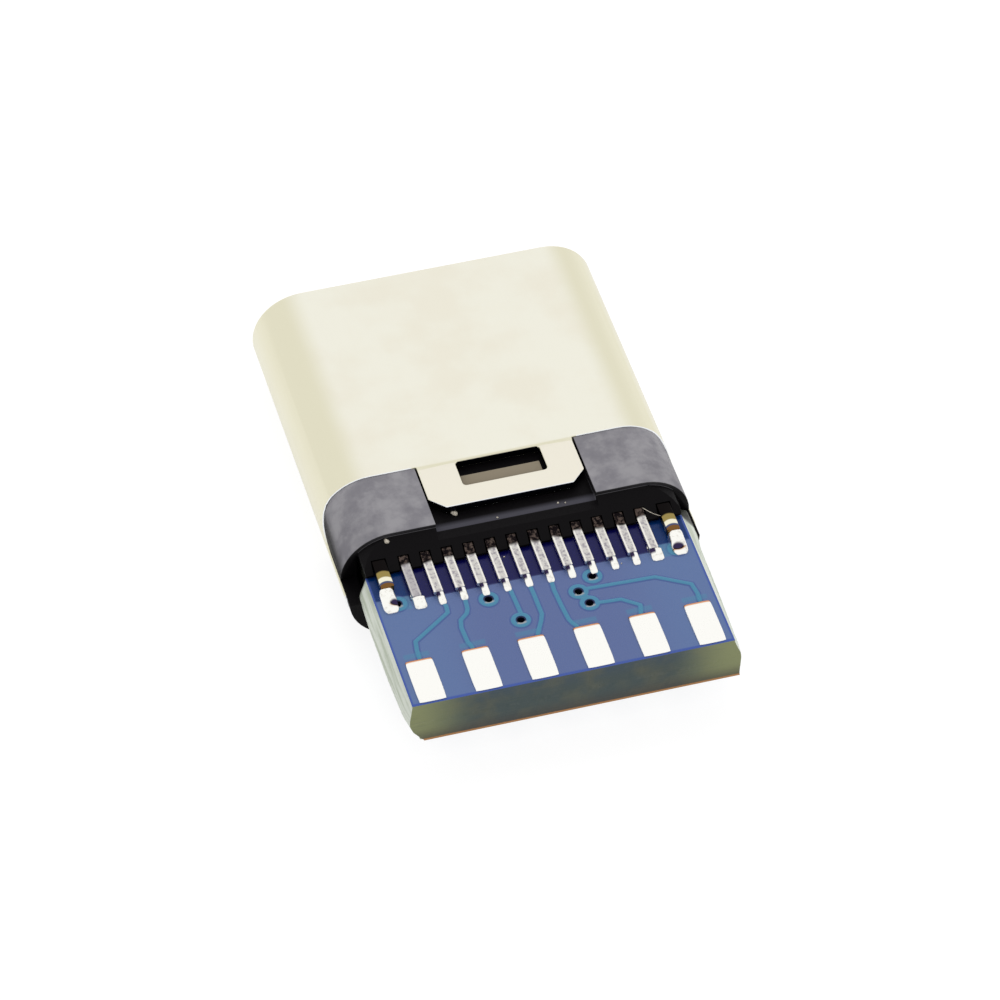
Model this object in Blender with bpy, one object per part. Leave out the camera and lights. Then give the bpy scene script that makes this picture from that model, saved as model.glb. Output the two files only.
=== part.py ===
"""A reversible 24-way data plug soldered to a short circuit board.

Metres, +Z up. The plug points along +Y and lies on the flat underside of its shell, with the
board standing out behind. Across is x. Stations run rearwards from the mating rim, and heights h
run up from the plug's mid plane, so that what sits below is the same shape with h turned over.
"""
import math

import bmesh
import bpy
from mathutils import Vector

# Shell: one deep-drawn sleeve with rounded ends
SHELL_WIDTH = 0.00825
SHELL_HEIGHT = 0.00240
SHELL_WALL = 0.00020
SHELL_LENGTH = 0.00638
RIM_RADIUS = 0.00012

# Shell tongues: one above and one below, each with a window for the holder's boss
TONGUE_WIDTH = 0.00366
TONGUE_LENGTH = 0.00137
TONGUE_CHAMFER = 0.00034
TONGUE_STEP = 0.00004
TONGUE_STEP_RUN = 0.00010
WINDOW_WIDTH = 0.00193
WINDOW_LENGTH = 0.00071
WINDOW_SETBACK = 0.00010
WINDOW_CORNER = 0.00008

# Shell arms: one on each side, just under the holders' parting line
ARM_LENGTH = 0.00235
ARM_HEIGHT = 0.00042
ARM_DROP = 0.00005
ARM_TOP_FILLET = 0.00090
ARM_LOW_FILLET = 0.00045
ARM_END_CORNER = 0.00012

# Clearances: a moulded fit all round a piece, the film left under a soldered piece, and how far
# a cut starts ahead of the face that it makes
FIT = 0.00002
SEAT_GAP = 0.000005
CUT_LEAD = 0.00008

# Front housing: the moulding that the mating tongue slides into
HOUSING_RECESS = 0.00030
CAVITY_SIDE_WALL = 0.000475
CAVITY_HEIGHT = 0.00084
CAVITY_CORNER = 0.00015
MOUTH_FLARE = 0.00007
MOUTH_HEIGHT = 0.00130
MOUTH_DEPTH = 0.00105
MOUTH_CORNER = 0.00030

# Contact holders: two mouldings that meet at the mid plane
HOLDER_INSET = 0.00003
HOLDER_LENGTH = 0.00184
HOLDER_SPIGOT = 0.00118
LOWER_EXTENSION = 0.00083
TRAY_WALL = 0.00021
CHANNEL_ROOM = 0.00012
BOSS_LENGTH = 0.00024
BOSS_DROP = 0.00010
HOOD_LENGTH = 0.00070
HOOD_SIDE = 0.00003
HOOD_DROP = 0.00010
HOOD_LIP = 0.00006
HOOD_ROOT = 0.00010

# Contacts: stamped strips, twelve above and ten below, in rows that fill the width between margins
CONTACT_COUNT = 12
LOWER_ROW_GAPS = (6, 7)
FIRST_MATING = (1, 4, 9, 12)
FIRST_MATING_LEAD = 0.00035
ROW_MARGIN = 0.001375
CONTACT_WIDTH = 0.00022
CONTACT_THICKNESS = 0.00012
CONTACT_TIP_STATION = 0.00175
CONTACT_TIP_RISE = 0.00018
CONTACT_NOSE_RUN = 0.00036
CONTACT_NOSE_HEIGHT = 0.00032
BEAM_ROOM = 0.00012
LEAD_SKIN = 0.00003
LEAD_RISE_RUN = 0.00045
LEAD_DROP_START = 0.00020
LEAD_DROP_RUN = 0.00050
FOOT_LENGTH = 0.00091
BEND_RADIUS = 0.00016
SLOT_WIDTH = 0.00030
SLOT_LEAD = 0.00012
SLOT_ROOF = 0.00012

# Latch plate: a flat stamping with two hooked arms in front and two solder legs behind
LATCH_THICKNESS = 0.00020
LATCH_ARM_INSET = 0.000265
LATCH_ARM_WIDTH = 0.00019
LATCH_TIP_STATION = 0.00165
LATCH_HOOK_REACH = 0.00033
LATCH_HOOK_LENGTH = 0.00050
LATCH_HOOK_FLAT = 0.00012
LATCH_WEB_LENGTH = 0.00070
LATCH_LEG_INSET = 0.00037
LATCH_LEG_WIDTH = 0.00030
LATCH_LEG_RISE_RUN = 0.00055
LATCH_FOOT_LENGTH = 0.00055

# Ground springs: three fingers each, above and below the mouth
SPRING_THICKNESS = 0.00008
SPRING_BASE_INSET = 0.000275
SPRING_BASE_LENGTH = 0.00130
SPRING_FINGER_WIDTH = 0.00084
SPRING_FINGER_INSET = 0.00038
SPRING_TIP_STATION = 0.00062
SPRING_NOSE_RUN = 0.00026
SPRING_NOSE_HEIGHT = 0.00052
SPRING_SLOPE_RUN = 0.00090
SPRING_CURL = 0.00007
SPRING_WINDOW_SIDE = 0.00004

# Circuit board: scored along both sides, so that a ridge is left at its middle thickness
BOARD_INSET = 0.000435
BOARD_ROOM = 0.00017
BOARD_RIDGE = 0.00014
BOARD_INSERTION = 0.00062
BOARD_TAIL = 0.00470
RIDGE_START = 0.00010
RIDGE_RUN = 0.00012
VIA_DIAMETER = 0.00023
VIA_PLACES = ((-0.00121, 0.00267), (-0.00069, 0.00187), (0.00122, 0.00273), (0.00079, 0.00237),
              (0.00093, 0.00195))

# Lands: copper under the contact feet, and tinned pads for the wires
LAND_THICKNESS = 0.000035
LAND_WIDTH = 0.00019
LAND_END = 0.00027
LAND_SHIFT = 0.00004
LATCH_LAND_WIDTH = 0.00044
WIRE_PAD_COUNT = 6
WIRE_PAD_SIDE = 0.00017
WIRE_PAD_WIDTH = 0.00064
WIRE_PAD_LENGTH = 0.00127
WIRE_PAD_THICKNESS = 0.00005
WIRE_PAD_CORNER = 0.00006
WIRE_PAD_SHOULDER = 0.00003
WIRE_PAD_MARGIN = 0.00005

# Steps per quarter turn on round ends, and per bend in a strip
END_STEPS = 12
CORNER_STEPS = 3

MID = SHELL_HEIGHT / 2
FLAT_HALF = (SHELL_WIDTH - SHELL_HEIGHT) / 2
BORE_WIDTH = SHELL_WIDTH - 2 * SHELL_WALL
BORE_HEIGHT = SHELL_HEIGHT - 2 * SHELL_WALL
HOLDER_REAR = SHELL_LENGTH + HOLDER_LENGTH
LOWER_REAR = HOLDER_REAR + LOWER_EXTENSION
BOARD_FRONT = HOLDER_REAR - BOARD_INSERTION
BOARD_REAR = HOLDER_REAR + BOARD_TAIL
HOUSING_REAR = SHELL_LENGTH - HOLDER_SPIGOT - 2 * FIT
CAVITY_WIDTH = BORE_WIDTH - 2 * CAVITY_SIDE_WALL
MOUTH_WIDTH = CAVITY_WIDTH + 2 * MOUTH_FLARE
CHANNEL_HALF = TONGUE_WIDTH / 2 + 2 * FIT
CHANNEL_FLOOR = MID - TONGUE_STEP - SHELL_WALL - 2 * FIT
SLOT_TOP = BORE_HEIGHT / 2 - FIT - SLOT_ROOF
CONTACT_PITCH = (SHELL_WIDTH - 2 * ROW_MARGIN) / (CONTACT_COUNT - 1)
BEAM_ROOT_HEIGHT = SLOT_TOP - BEAM_ROOM - CONTACT_THICKNESS / 2
LEAD_HEIGHT = CHANNEL_FLOOR - LEAD_SKIN - FIT - CONTACT_THICKNESS / 2
BOARD_WIDTH = SHELL_WIDTH - 2 * BOARD_INSET
BOARD_HALF = LEAD_HEIGHT - CONTACT_THICKNESS / 2 - BOARD_ROOM
POCKET_HALF = BOARD_WIDTH / 2 + FIT
POCKET_TOP = BOARD_HALF + 2 * FIT
FOOT_START = HOLDER_REAR + LEAD_DROP_START + LEAD_DROP_RUN
FOOT_END = FOOT_START + FOOT_LENGTH
LATCH_ARM_OUTER = BORE_WIDTH / 2 - LATCH_ARM_INSET
LATCH_LEG_CENTRE = BOARD_WIDTH / 2 - LATCH_LEG_INSET
SPRING_BASE_HALF = FLAT_HALF - SPRING_BASE_INSET
SPRING_FINGER_PITCH = SPRING_BASE_HALF - SPRING_FINGER_INSET - SPRING_FINGER_WIDTH / 2
WIRE_PAD_PITCH = (BOARD_WIDTH - WIRE_PAD_WIDTH - 2 * WIRE_PAD_SIDE) / (WIRE_PAD_COUNT - 1)
TINY = 1e-8
BEYOND = 0.0008
SMOOTH_ANGLE = math.radians(32)
MITRE_LIMIT = 0.5


def along_y(station):
    """World y of a station, with the whole plug centred on the origin."""
    return BOARD_REAR / 2 - station


def world(x, station, h):
    return Vector((x, along_y(station), MID + h))


def plated(name, colour, roughness, metallic):
    """A Principled material of one plain colour."""
    material = bpy.data.materials.new(name)
    material.use_nodes = True
    shader = material.node_tree.nodes["Principled BSDF"]
    shader.inputs["Base Color"].default_value = (*colour, 1.0)
    shader.inputs["Roughness"].default_value = roughness
    shader.inputs["Metallic"].default_value = metallic
    return material


def add_object(name, bm, material=None, round_piece=False):
    """Turn a closed bmesh into an object, with its faces outwards."""
    bmesh.ops.recalc_face_normals(bm, faces=bm.faces)
    mesh = bpy.data.meshes.new(name)
    bm.to_mesh(mesh)
    bm.free()
    if round_piece:
        mesh.shade_smooth()
        mesh.set_sharp_from_angle(angle=SMOOTH_ANGLE)
    piece = bpy.data.objects.new(name, mesh)
    bpy.context.scene.collection.objects.link(piece)
    if material is None:
        piece.hide_render = True
        piece.display_type = "WIRE"
    else:
        mesh.materials.append(material)
    return piece


def add_modifier(piece, tool, operation):
    """Cut a hidden tool out of a piece, or weld it on."""
    modifier = piece.modifiers.new(tool.name, "BOOLEAN")
    modifier.operation = operation
    modifier.solver = "EXACT"
    modifier.object = tool
    tool.parent = piece


def add_loft(bm, sections):
    """A closed skin over rings of points, with a cap on the first and the last ring."""
    rings = [[bm.verts.new(point) for point in section] for section in sections]
    count = len(rings[0])
    for front, rear in zip(rings, rings[1:]):
        for i in range(count):
            j = (i + 1) % count
            bm.faces.new((front[i], front[j], rear[j], rear[i]))
    bm.faces.new(rings[0])
    bm.faces.new(list(reversed(rings[-1])))


def add_box(bm, x_range, s_range, h_range):
    sections = []
    for s in s_range:
        corners = ((x_range[0], h_range[0]), (x_range[1], h_range[0]),
                   (x_range[1], h_range[1]), (x_range[0], h_range[1]))
        sections.append([world(x, s, h) for x, h in corners])
    add_loft(bm, sections)


def add_across(bm, profile, x_range):
    """A profile of (station, h) points carried across from one x to another."""
    add_loft(bm, [[world(x, s, h) for s, h in profile] for x in x_range])


def arc(centre, radius, start, end, steps):
    """Points on an arc in degrees, both ends included."""
    angles = [math.radians(start + (end - start) * i / steps) for i in range(steps + 1)]
    return [(centre[0] + radius * math.cos(a), centre[1] + radius * math.sin(a)) for a in angles]


def rounded_rectangle(width, height, radius, steps=CORNER_STEPS):
    """A rectangle with round corners about the middle, as (x, h) points."""
    x, h = width / 2 - radius, height / 2 - radius
    return (arc((x, h), radius, 0, 90, steps) + arc((-x, h), radius, 90, 180, steps)
            + arc((-x, -h), radius, 180, 270, steps) + arc((x, -h), radius, 270, 360, steps))


def stadium(width, height):
    """The plug's round-ended outline, as (x, h) points."""
    x, radius = (width - height) / 2, height / 2
    return arc((x, 0), radius, -90, 90, 2 * END_STEPS) + arc((-x, 0), radius, 90, 270, 2 * END_STEPS)


def half_stadium(width, height, floor):
    """The part of a round-ended outline that lies above a floor, as (x, h) points."""
    x, radius = (width - height) / 2, height / 2
    start = math.degrees(math.asin(floor / radius))
    return (arc((x, 0), radius, start, 90, END_STEPS)
            + arc((-x, 0), radius, 90, 180 - start, END_STEPS))


def trimmed_half(half, radius, foot):
    """The upper part of a round-ended outline, trimmed at half to each side and let down to a foot."""
    start = math.degrees(math.acos((half - FLAT_HALF) / radius))
    return ([(half, foot)] + arc((FLAT_HALF, 0), radius, start, 90, END_STEPS // 2)
            + arc((-FLAT_HALF, 0), radius, 90, 180 - start, END_STEPS // 2) + [(-half, foot)])


def round_corners(points, radius):
    """A path of (station, h) points with each inner corner turned into a short arc."""
    path = [Vector(points[0])]
    for before, corner, after in zip(points, points[1:], points[2:]):
        corner = Vector(corner)
        one, two = Vector(before) - corner, Vector(after) - corner
        half_turn = (math.pi - one.angle(two)) / 2
        reach = min(radius * math.tan(half_turn), one.length / 3, two.length / 3)
        start, end = corner + one.normalized() * reach, corner + two.normalized() * reach
        for i in range(CORNER_STEPS + 1):
            t = i / CORNER_STEPS
            path.append(start * (1 - t) ** 2 + corner * 2 * t * (1 - t) + end * t ** 2)
    path.append(Vector(points[-1]))
    return path


def path_normals(path):
    """A mitred normal at each point of a path, long enough to keep a strip's thickness."""
    normals = []
    for i, point in enumerate(path):
        before = (point - path[max(i - 1, 0)]).normalized() if i else None
        after = (path[i + 1] - point).normalized() if i + 1 < len(path) else None
        tangent = ((before or after) + (after or before)).normalized()
        normal = Vector((-tangent.y, tangent.x))
        edge = Vector((-(after or before).y, (after or before).x))
        normals.append(normal / max(normal.dot(edge), MITRE_LIMIT))
    return normals


def strip_profile(path, thickness):
    """The side view of a bent strip, as one closed loop of (station, h) points."""
    normals = path_normals(path)
    upper = [point + normal * thickness / 2 for point, normal in zip(path, normals)]
    lower = [point - normal * thickness / 2 for point, normal in zip(path, normals)]
    return [tuple(point) for point in upper + lower[::-1]]


def add_pressing(bm, outline, cuts, surfaces, seam=None):
    """A sheet pressing: half of a flat outline of (u, v) points and its mirror image, folded at the
    cuts, with a wall between the outer and the inner surface. Each surface is a function that places
    a flat point. A sleeve closes on itself at u = seam."""
    flat = bmesh.new()
    flat.faces.new([flat.verts.new((u, v, 0.0)) for u, v in outline])
    for axis, places in cuts.items():
        normal = (1, 0, 0) if axis == "u" else (0, 1, 0)
        for place in places:
            point = [place * component for component in normal]
            bmesh.ops.bisect_plane(flat, geom=flat.verts[:] + flat.edges[:] + flat.faces[:],
                                   plane_co=point, plane_no=normal, dist=TINY)
    twins = {vert: flat.verts.new((-vert.co.x, vert.co.y, 0.0)) for vert in flat.verts[:]}
    for face in flat.faces[:]:
        flat.faces.new([twins[vert] for vert in reversed(face.verts)])
    bmesh.ops.remove_doubles(flat, verts=flat.verts, dist=TINY)
    bmesh.ops.triangulate(flat, faces=flat.faces)

    skins = []
    for surface in surfaces:
        places = {vert: bm.verts.new(surface(vert.co.x, vert.co.y)) for vert in flat.verts}
        skins.append(places)
    for face in flat.faces:
        bm.faces.new([skins[0][vert] for vert in face.verts])
        bm.faces.new([skins[1][vert] for vert in reversed(face.verts)])
    for edge in flat.edges:
        one, two = edge.verts
        on_seam = seam and min(abs(one.co.x), abs(two.co.x)) > seam - TINY
        if edge.is_boundary and not on_seam:
            bm.faces.new((skins[0][one], skins[0][two], skins[1][two], skins[1][one]))
    flat.free()
    if seam:
        bmesh.ops.remove_doubles(bm, verts=bm.verts, dist=TINY)


def shell_outline(grow):
    """Half of the shell's flat pattern, from the middle of its top to the middle of its underside.

    u runs round the outer skin and v is the station. grow widens the pattern, for the recess that
    the pattern leaves in a moulding."""
    side = FLAT_HALF + math.pi * MID / 2
    arm_top = side + ARM_DROP - grow
    arm_low = side + ARM_DROP + ARM_HEIGHT + grow
    rear = SHELL_LENGTH + grow
    tongue_half = TONGUE_WIDTH / 2 + grow
    tongue_rear = SHELL_LENGTH + TONGUE_LENGTH + grow
    arm_rear = SHELL_LENGTH + ARM_LENGTH + grow
    top_radius, low_radius = ARM_TOP_FILLET - grow, ARM_LOW_FILLET - grow

    tongue = [(0.0, tongue_rear), (tongue_half - TONGUE_CHAMFER, tongue_rear),
              (tongue_half, tongue_rear - TONGUE_CHAMFER), (tongue_half, rear)]
    arm = arc((arm_top - top_radius, rear + top_radius), top_radius, 270, 360, 2 * CORNER_STEPS)
    arm += arc((arm_top + ARM_END_CORNER, arm_rear - ARM_END_CORNER), ARM_END_CORNER, 180, 90,
               CORNER_STEPS)
    arm += arc((arm_low - ARM_END_CORNER, arm_rear - ARM_END_CORNER), ARM_END_CORNER, 90, 0,
               CORNER_STEPS)
    arm += arc((arm_low + low_radius, rear + low_radius), low_radius, 180, 270, 2 * CORNER_STEPS)
    low_tongue = [(2 * side - u, v) for u, v in reversed(tongue)]
    return tongue + arm + low_tongue, side


def window_notch():
    """Half of a tongue's window, from its front edge to its rear edge."""
    front = SHELL_LENGTH + WINDOW_SETBACK
    rear = front + WINDOW_LENGTH
    half, radius = WINDOW_WIDTH / 2, WINDOW_CORNER
    return ([(0.0, front)] + arc((half - radius, front + radius), radius, -90, 0, CORNER_STEPS)
            + arc((half - radius, rear - radius), radius, 0, 90, CORNER_STEPS) + [(0.0, rear)])


def shell_point(depth_at):
    """Place a flat point round the shell, at the depth below its outer skin that a function gives."""
    half_girth = 2 * FLAT_HALF + math.pi * MID

    def place(u, v):
        run, side = abs(u), math.copysign(1.0, u)
        reach = MID - depth_at(run, v)
        if run <= FLAT_HALF:
            return world(u, v, reach)
        if run >= half_girth - FLAT_HALF:
            return world(side * (half_girth - run), v, -reach)
        turn = (run - FLAT_HALF) / MID
        return world(side * (FLAT_HALF + reach * math.sin(turn)), v, reach * math.cos(turn))

    return place


def tongue_step(run, v, grow=0.0):
    """How far the tongue is set down at a flat point, as a short ramp behind its root."""
    beside = min(run, 2 * FLAT_HALF + math.pi * MID - run)
    if beside > TONGUE_WIDTH / 2 + grow + TINY:
        return 0.0
    return TONGUE_STEP * min(max((v - SHELL_LENGTH) / TONGUE_STEP_RUN, 0.0), 1.0)


def shell_cuts():
    """Folds round the two ends, and lines across at the rim and at the tongue's step."""
    turn = math.pi * MID / (2 * END_STEPS)
    rim = [RIM_RADIUS * (1 - math.cos(math.radians(90 * i / CORNER_STEPS)))
           for i in range(1, CORNER_STEPS + 1)]
    return {"u": [FLAT_HALF + turn * i for i in range(2 * END_STEPS + 1)],
            "v": rim + [SHELL_LENGTH, SHELL_LENGTH + TONGUE_STEP_RUN]}


def build_shell(material):
    outline, side = shell_outline(0.0)
    top_window = window_notch()
    low_window = [(2 * side - u, v) for u, v in reversed(top_window)]
    outline = [(0.0, 0.0)] + top_window + outline + low_window + [(2 * side, 0.0)]

    def outer(run, v):
        if v < RIM_RADIUS:
            fall = RIM_RADIUS - v
            return RIM_RADIUS - math.sqrt(RIM_RADIUS ** 2 - fall ** 2)
        return tongue_step(run, v)

    def inner(run, v):
        return SHELL_WALL + tongue_step(run, v)

    bm = bmesh.new()
    add_pressing(bm, outline, shell_cuts(), (shell_point(outer), shell_point(inner)), 2 * side)
    return add_object("shell", bm, material, round_piece=True)


def shell_recess(name, front):
    """A hidden tool: the shell's pattern grown by the fit, from outside its skin to inside it."""
    outline, side = shell_outline(FIT)
    outline = [(0.0, front)] + outline + [(2 * side, front)]

    def outer(run, v):
        return -BEYOND

    def inner(run, v):
        return SHELL_WALL + FIT + tongue_step(run, v, FIT)

    bm = bmesh.new()
    cuts = shell_cuts()
    cuts["v"] = cuts["v"][-2:]
    add_pressing(bm, outline, cuts, (shell_point(outer), shell_point(inner)), 2 * side)
    return add_object(name, bm)


def contact_x(number):
    return (number - (CONTACT_COUNT + 1) / 2) * CONTACT_PITCH


def contact_path(number, side):
    """The side view of one contact, from its nose to its foot on the board."""
    tip = CONTACT_TIP_STATION - (FIRST_MATING_LEAD if number in FIRST_MATING else 0.0)
    nose = tip + CONTACT_NOSE_RUN
    foot = BOARD_HALF + LAND_THICKNESS + SEAT_GAP + CONTACT_THICKNESS / 2
    points = [(tip, CONTACT_NOSE_HEIGHT + CONTACT_TIP_RISE), (nose, CONTACT_NOSE_HEIGHT),
              (HOUSING_REAR - LEAD_RISE_RUN, BEAM_ROOT_HEIGHT),
              (HOUSING_REAR + LEAD_RISE_RUN, LEAD_HEIGHT),
              (HOLDER_REAR + LEAD_DROP_START, LEAD_HEIGHT), (FOOT_START, foot), (FOOT_END, foot)]
    return round_corners([(s, side * h) for s, h in points], BEND_RADIUS)


def row_numbers(side):
    return [n for n in range(1, CONTACT_COUNT + 1) if side > 0 or n not in LOWER_ROW_GAPS]


def add_contact(bm, number, side, grow):
    profile = strip_profile(contact_path(number, side), CONTACT_THICKNESS + 2 * grow)
    half = CONTACT_WIDTH / 2 + grow
    add_across(bm, profile, (contact_x(number) - half, contact_x(number) + half))


def build_contacts(word, side, material):
    for number in row_numbers(side):
        bm = bmesh.new()
        add_contact(bm, number, side, 0.0)
        add_object(f"{word}_contact_{number:02d}", bm, material, round_piece=True)


def latch_path():
    """The latch plate's side view: flat between the holders, then up and onto the board."""
    foot = BOARD_HALF + LAND_THICKNESS + SEAT_GAP + LATCH_THICKNESS / 2
    web_rear = HOUSING_REAR + FIT + LATCH_WEB_LENGTH
    points = [(LATCH_TIP_STATION, 0.0), (web_rear + LATCH_THICKNESS, 0.0),
              (web_rear + LATCH_THICKNESS + LATCH_LEG_RISE_RUN, foot), (FOOT_START, foot),
              (FOOT_START + LATCH_FOOT_LENGTH, foot)]
    return round_corners(points, BEND_RADIUS)


def path_surface(path, offset):
    """Place a flat (x, distance) point on one face of a strip that follows a path."""
    normals = path_normals(path)
    lengths = [0.0]
    for one, two in zip(path, path[1:]):
        lengths.append(lengths[-1] + (two - one).length)

    def place(x, distance):
        last = len(lengths) - 2
        i = next((k for k in range(last + 1) if distance <= lengths[k + 1] + TINY), last)
        t = (distance - lengths[i]) / (lengths[i + 1] - lengths[i])
        middle = path[i].lerp(path[i + 1], t)
        normal = normals[i].lerp(normals[i + 1], t)
        point = middle + normal * offset
        return world(x, point.x, point.y)

    return place, lengths


def latch_outline(grow):
    """Half of the latch plate's flat pattern, as (x, distance from its tips) points."""
    lengths = path_surface(latch_path(), 0.0)[1]
    outer = LATCH_ARM_OUTER + grow
    inner = LATCH_ARM_OUTER - LATCH_ARM_WIDTH - grow
    hook = CAVITY_WIDTH / 2 - LATCH_HOOK_REACH - grow
    hook_rear = (LATCH_HOOK_LENGTH + LATCH_HOOK_FLAT) / 2
    web_front = HOUSING_REAR + FIT - LATCH_TIP_STATION - grow
    web_rear = web_front + LATCH_WEB_LENGTH + 2 * grow
    leg = (LATCH_LEG_CENTRE - LATCH_LEG_WIDTH / 2 - grow, LATCH_LEG_CENTRE + LATCH_LEG_WIDTH / 2 + grow)
    leg_end = lengths[-1] + grow
    return [(0.0, web_front), (inner, web_front), (inner, LATCH_HOOK_LENGTH + grow),
            (hook, hook_rear), (hook, hook_rear - LATCH_HOOK_FLAT), (inner, -grow), (outer, -grow),
            (outer, web_rear), (leg[1], web_rear),
            (leg[1], leg_end), (leg[0], leg_end), (leg[0], web_rear), (0.0, web_rear)]


def add_latch(bm, grow):
    path = latch_path()
    upper, lengths = path_surface(path, LATCH_THICKNESS / 2 + grow)
    lower = path_surface(path, -LATCH_THICKNESS / 2 - grow)[0]
    add_pressing(bm, latch_outline(grow), {"v": lengths[1:-1]}, (upper, lower))


def build_latch(material):
    bm = bmesh.new()
    add_latch(bm, 0.0)
    return add_object("latch_plate", bm, material, round_piece=True)


def spring_path(side):
    """The side view of a ground spring's finger, from its tip to the rear of its base."""
    base = BORE_HEIGHT / 2 - FIT - SPRING_THICKNESS / 2
    nose = SPRING_TIP_STATION + SPRING_NOSE_RUN
    root = nose + SPRING_SLOPE_RUN
    points = [(SPRING_TIP_STATION, SPRING_NOSE_HEIGHT + SPRING_CURL), (nose, SPRING_NOSE_HEIGHT),
              (root, base), (root + SPRING_BASE_LENGTH, base)]
    return round_corners([(s, side * h) for s, h in points], BEND_RADIUS)


def spring_root():
    return SPRING_TIP_STATION + SPRING_NOSE_RUN + SPRING_SLOPE_RUN


def build_spring(name, side, material):
    """Three fingers on one base, cut from a thin strip and folded along their path."""
    path = spring_path(side)
    upper, lengths = path_surface(path, SPRING_THICKNESS / 2)
    lower = path_surface(path, -SPRING_THICKNESS / 2)[0]
    rear = lengths[-1]
    root = rear - SPRING_BASE_LENGTH
    finger = SPRING_FINGER_WIDTH / 2
    outline = [(0.0, 0.0), (finger, 0.0), (finger, root), (SPRING_FINGER_PITCH - finger, root),
               (SPRING_FINGER_PITCH - finger, 0.0), (SPRING_FINGER_PITCH + finger, 0.0),
               (SPRING_FINGER_PITCH + finger, root), (SPRING_BASE_HALF, root),
               (SPRING_BASE_HALF, rear), (0.0, rear)]
    bm = bmesh.new()
    add_pressing(bm, outline, {"v": lengths[1:-1]}, (upper, lower))
    add_object(name, bm, material, round_piece=True)


def add_spring_room(bm, side):
    """The shallow seat of a ground spring's base, and the windows that its fingers dip through."""
    roof = BORE_HEIGHT / 2
    seat = roof - FIT - SPRING_THICKNESS - FIT
    front, rear = spring_root() - FIT, spring_root() + SPRING_BASE_LENGTH + FIT
    half = SPRING_BASE_HALF + FIT
    add_box(bm, (-half, half), (front - BEND_RADIUS, rear), sorted((side * seat, side * (roof + FIT))))
    window_half = SPRING_FINGER_WIDTH / 2 + SPRING_WINDOW_SIDE
    for k in (-1, 0, 1):
        x = k * SPRING_FINGER_PITCH
        low = CAVITY_HEIGHT / 2 - CUT_LEAD
        add_box(bm, (x - window_half, x + window_half), (HOUSING_RECESS - FIT * 2, front),
                sorted((side * low, side * (roof + FIT * 2))))


def add_contact_slot(bm, number, side):
    """The slot in the housing's roof in which one contact's beam can flex."""
    x = contact_x(number)
    lead = FIRST_MATING_LEAD if number in FIRST_MATING else 0.0
    front = CONTACT_TIP_STATION - lead - SLOT_LEAD
    heights = sorted((side * (CAVITY_HEIGHT / 2 - CUT_LEAD), side * SLOT_TOP))
    add_box(bm, (x - SLOT_WIDTH / 2, x + SLOT_WIDTH / 2), (front, HOUSING_REAR + FIT), heights)


def build_housing(material):
    """The front moulding: a round-ended block with the mating cavity, slots and windows."""
    outline = stadium(BORE_WIDTH - 2 * FIT, BORE_HEIGHT - 2 * FIT)
    bm = bmesh.new()
    add_loft(bm, [[world(x, s, h) for x, h in outline] for s in (HOUSING_RECESS, HOUSING_REAR)])
    bmesh.ops.remove_doubles(bm, verts=bm.verts, dist=TINY)
    housing = add_object("front_housing", bm, material, round_piece=True)

    mouth = rounded_rectangle(MOUTH_WIDTH, MOUTH_HEIGHT, MOUTH_CORNER)
    cavity = rounded_rectangle(CAVITY_WIDTH, CAVITY_HEIGHT, CAVITY_CORNER)
    step = HOUSING_RECESS + MOUTH_DEPTH
    stations = ((HOUSING_RECESS - FIT, mouth), (step, mouth), (step + FIT, cavity),
                (HOUSING_REAR + FIT, cavity))
    bm = bmesh.new()
    add_loft(bm, [[world(x, s, h) for x, h in ring] for s, ring in stations])
    add_modifier(housing, add_object("cavity_tool", bm), "DIFFERENCE")

    bm = bmesh.new()
    for side in (1, -1):
        for number in row_numbers(side):
            add_contact_slot(bm, number, side)
    add_modifier(housing, add_object("slot_tool", bm), "DIFFERENCE")

    for side, word in ((1, "upper"), (-1, "lower")):
        bm = bmesh.new()
        add_spring_room(bm, side)
        tool = add_object(f"{word}_spring_tool", bm)
        add_modifier(housing, tool, "DIFFERENCE")
        housing.modifiers[-1].use_self = True

    bm = bmesh.new()
    height = LATCH_THICKNESS / 2 + FIT
    reach = LATCH_ARM_OUTER - LATCH_ARM_WIDTH - 2 * FIT
    for side in (1, -1):
        add_box(bm, sorted((side * (reach - LATCH_ARM_WIDTH), side * (LATCH_ARM_OUTER + FIT))),
                (LATCH_TIP_STATION - FIT * 2, HOUSING_REAR + FIT), (-height, height))
    add_modifier(housing, add_object("latch_slot_tool", bm), "DIFFERENCE")


def holder_body(rear, side):
    """One holder's solid: a spigot in the shell's bore, then a body nearly as wide as the shell.

    The body starts a little early, so that the shell's recess cuts its shoulder square."""
    floor = FIT / 2
    spigot = half_stadium(BORE_WIDTH - 4 * FIT, BORE_HEIGHT - 4 * FIT, floor)
    body = half_stadium(SHELL_WIDTH - 2 * HOLDER_INSET, SHELL_HEIGHT - 2 * HOLDER_INSET, floor)
    shoulder = SHELL_LENGTH - CUT_LEAD / 2
    stations = ((SHELL_LENGTH - HOLDER_SPIGOT, spigot), (shoulder, spigot),
                (shoulder + FIT, body), (rear, body))
    bm = bmesh.new()
    add_loft(bm, [[world(x, s, side * h) for x, h in ring] for s, ring in stations])
    bmesh.ops.remove_doubles(bm, verts=bm.verts, dist=TINY)
    return bm


def add_boss(bm, side):
    """The snap boss that fills the rear of a tongue's window."""
    rear = SHELL_LENGTH + WINDOW_SETBACK + WINDOW_LENGTH - FIT
    half = WINDOW_WIDTH / 2 - FIT
    top = MID - TONGUE_STEP - BOSS_DROP
    add_box(bm, (-half, half), (rear - BOSS_LENGTH, rear),
            sorted((side * (CHANNEL_FLOOR - FIT), side * top)))


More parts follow.
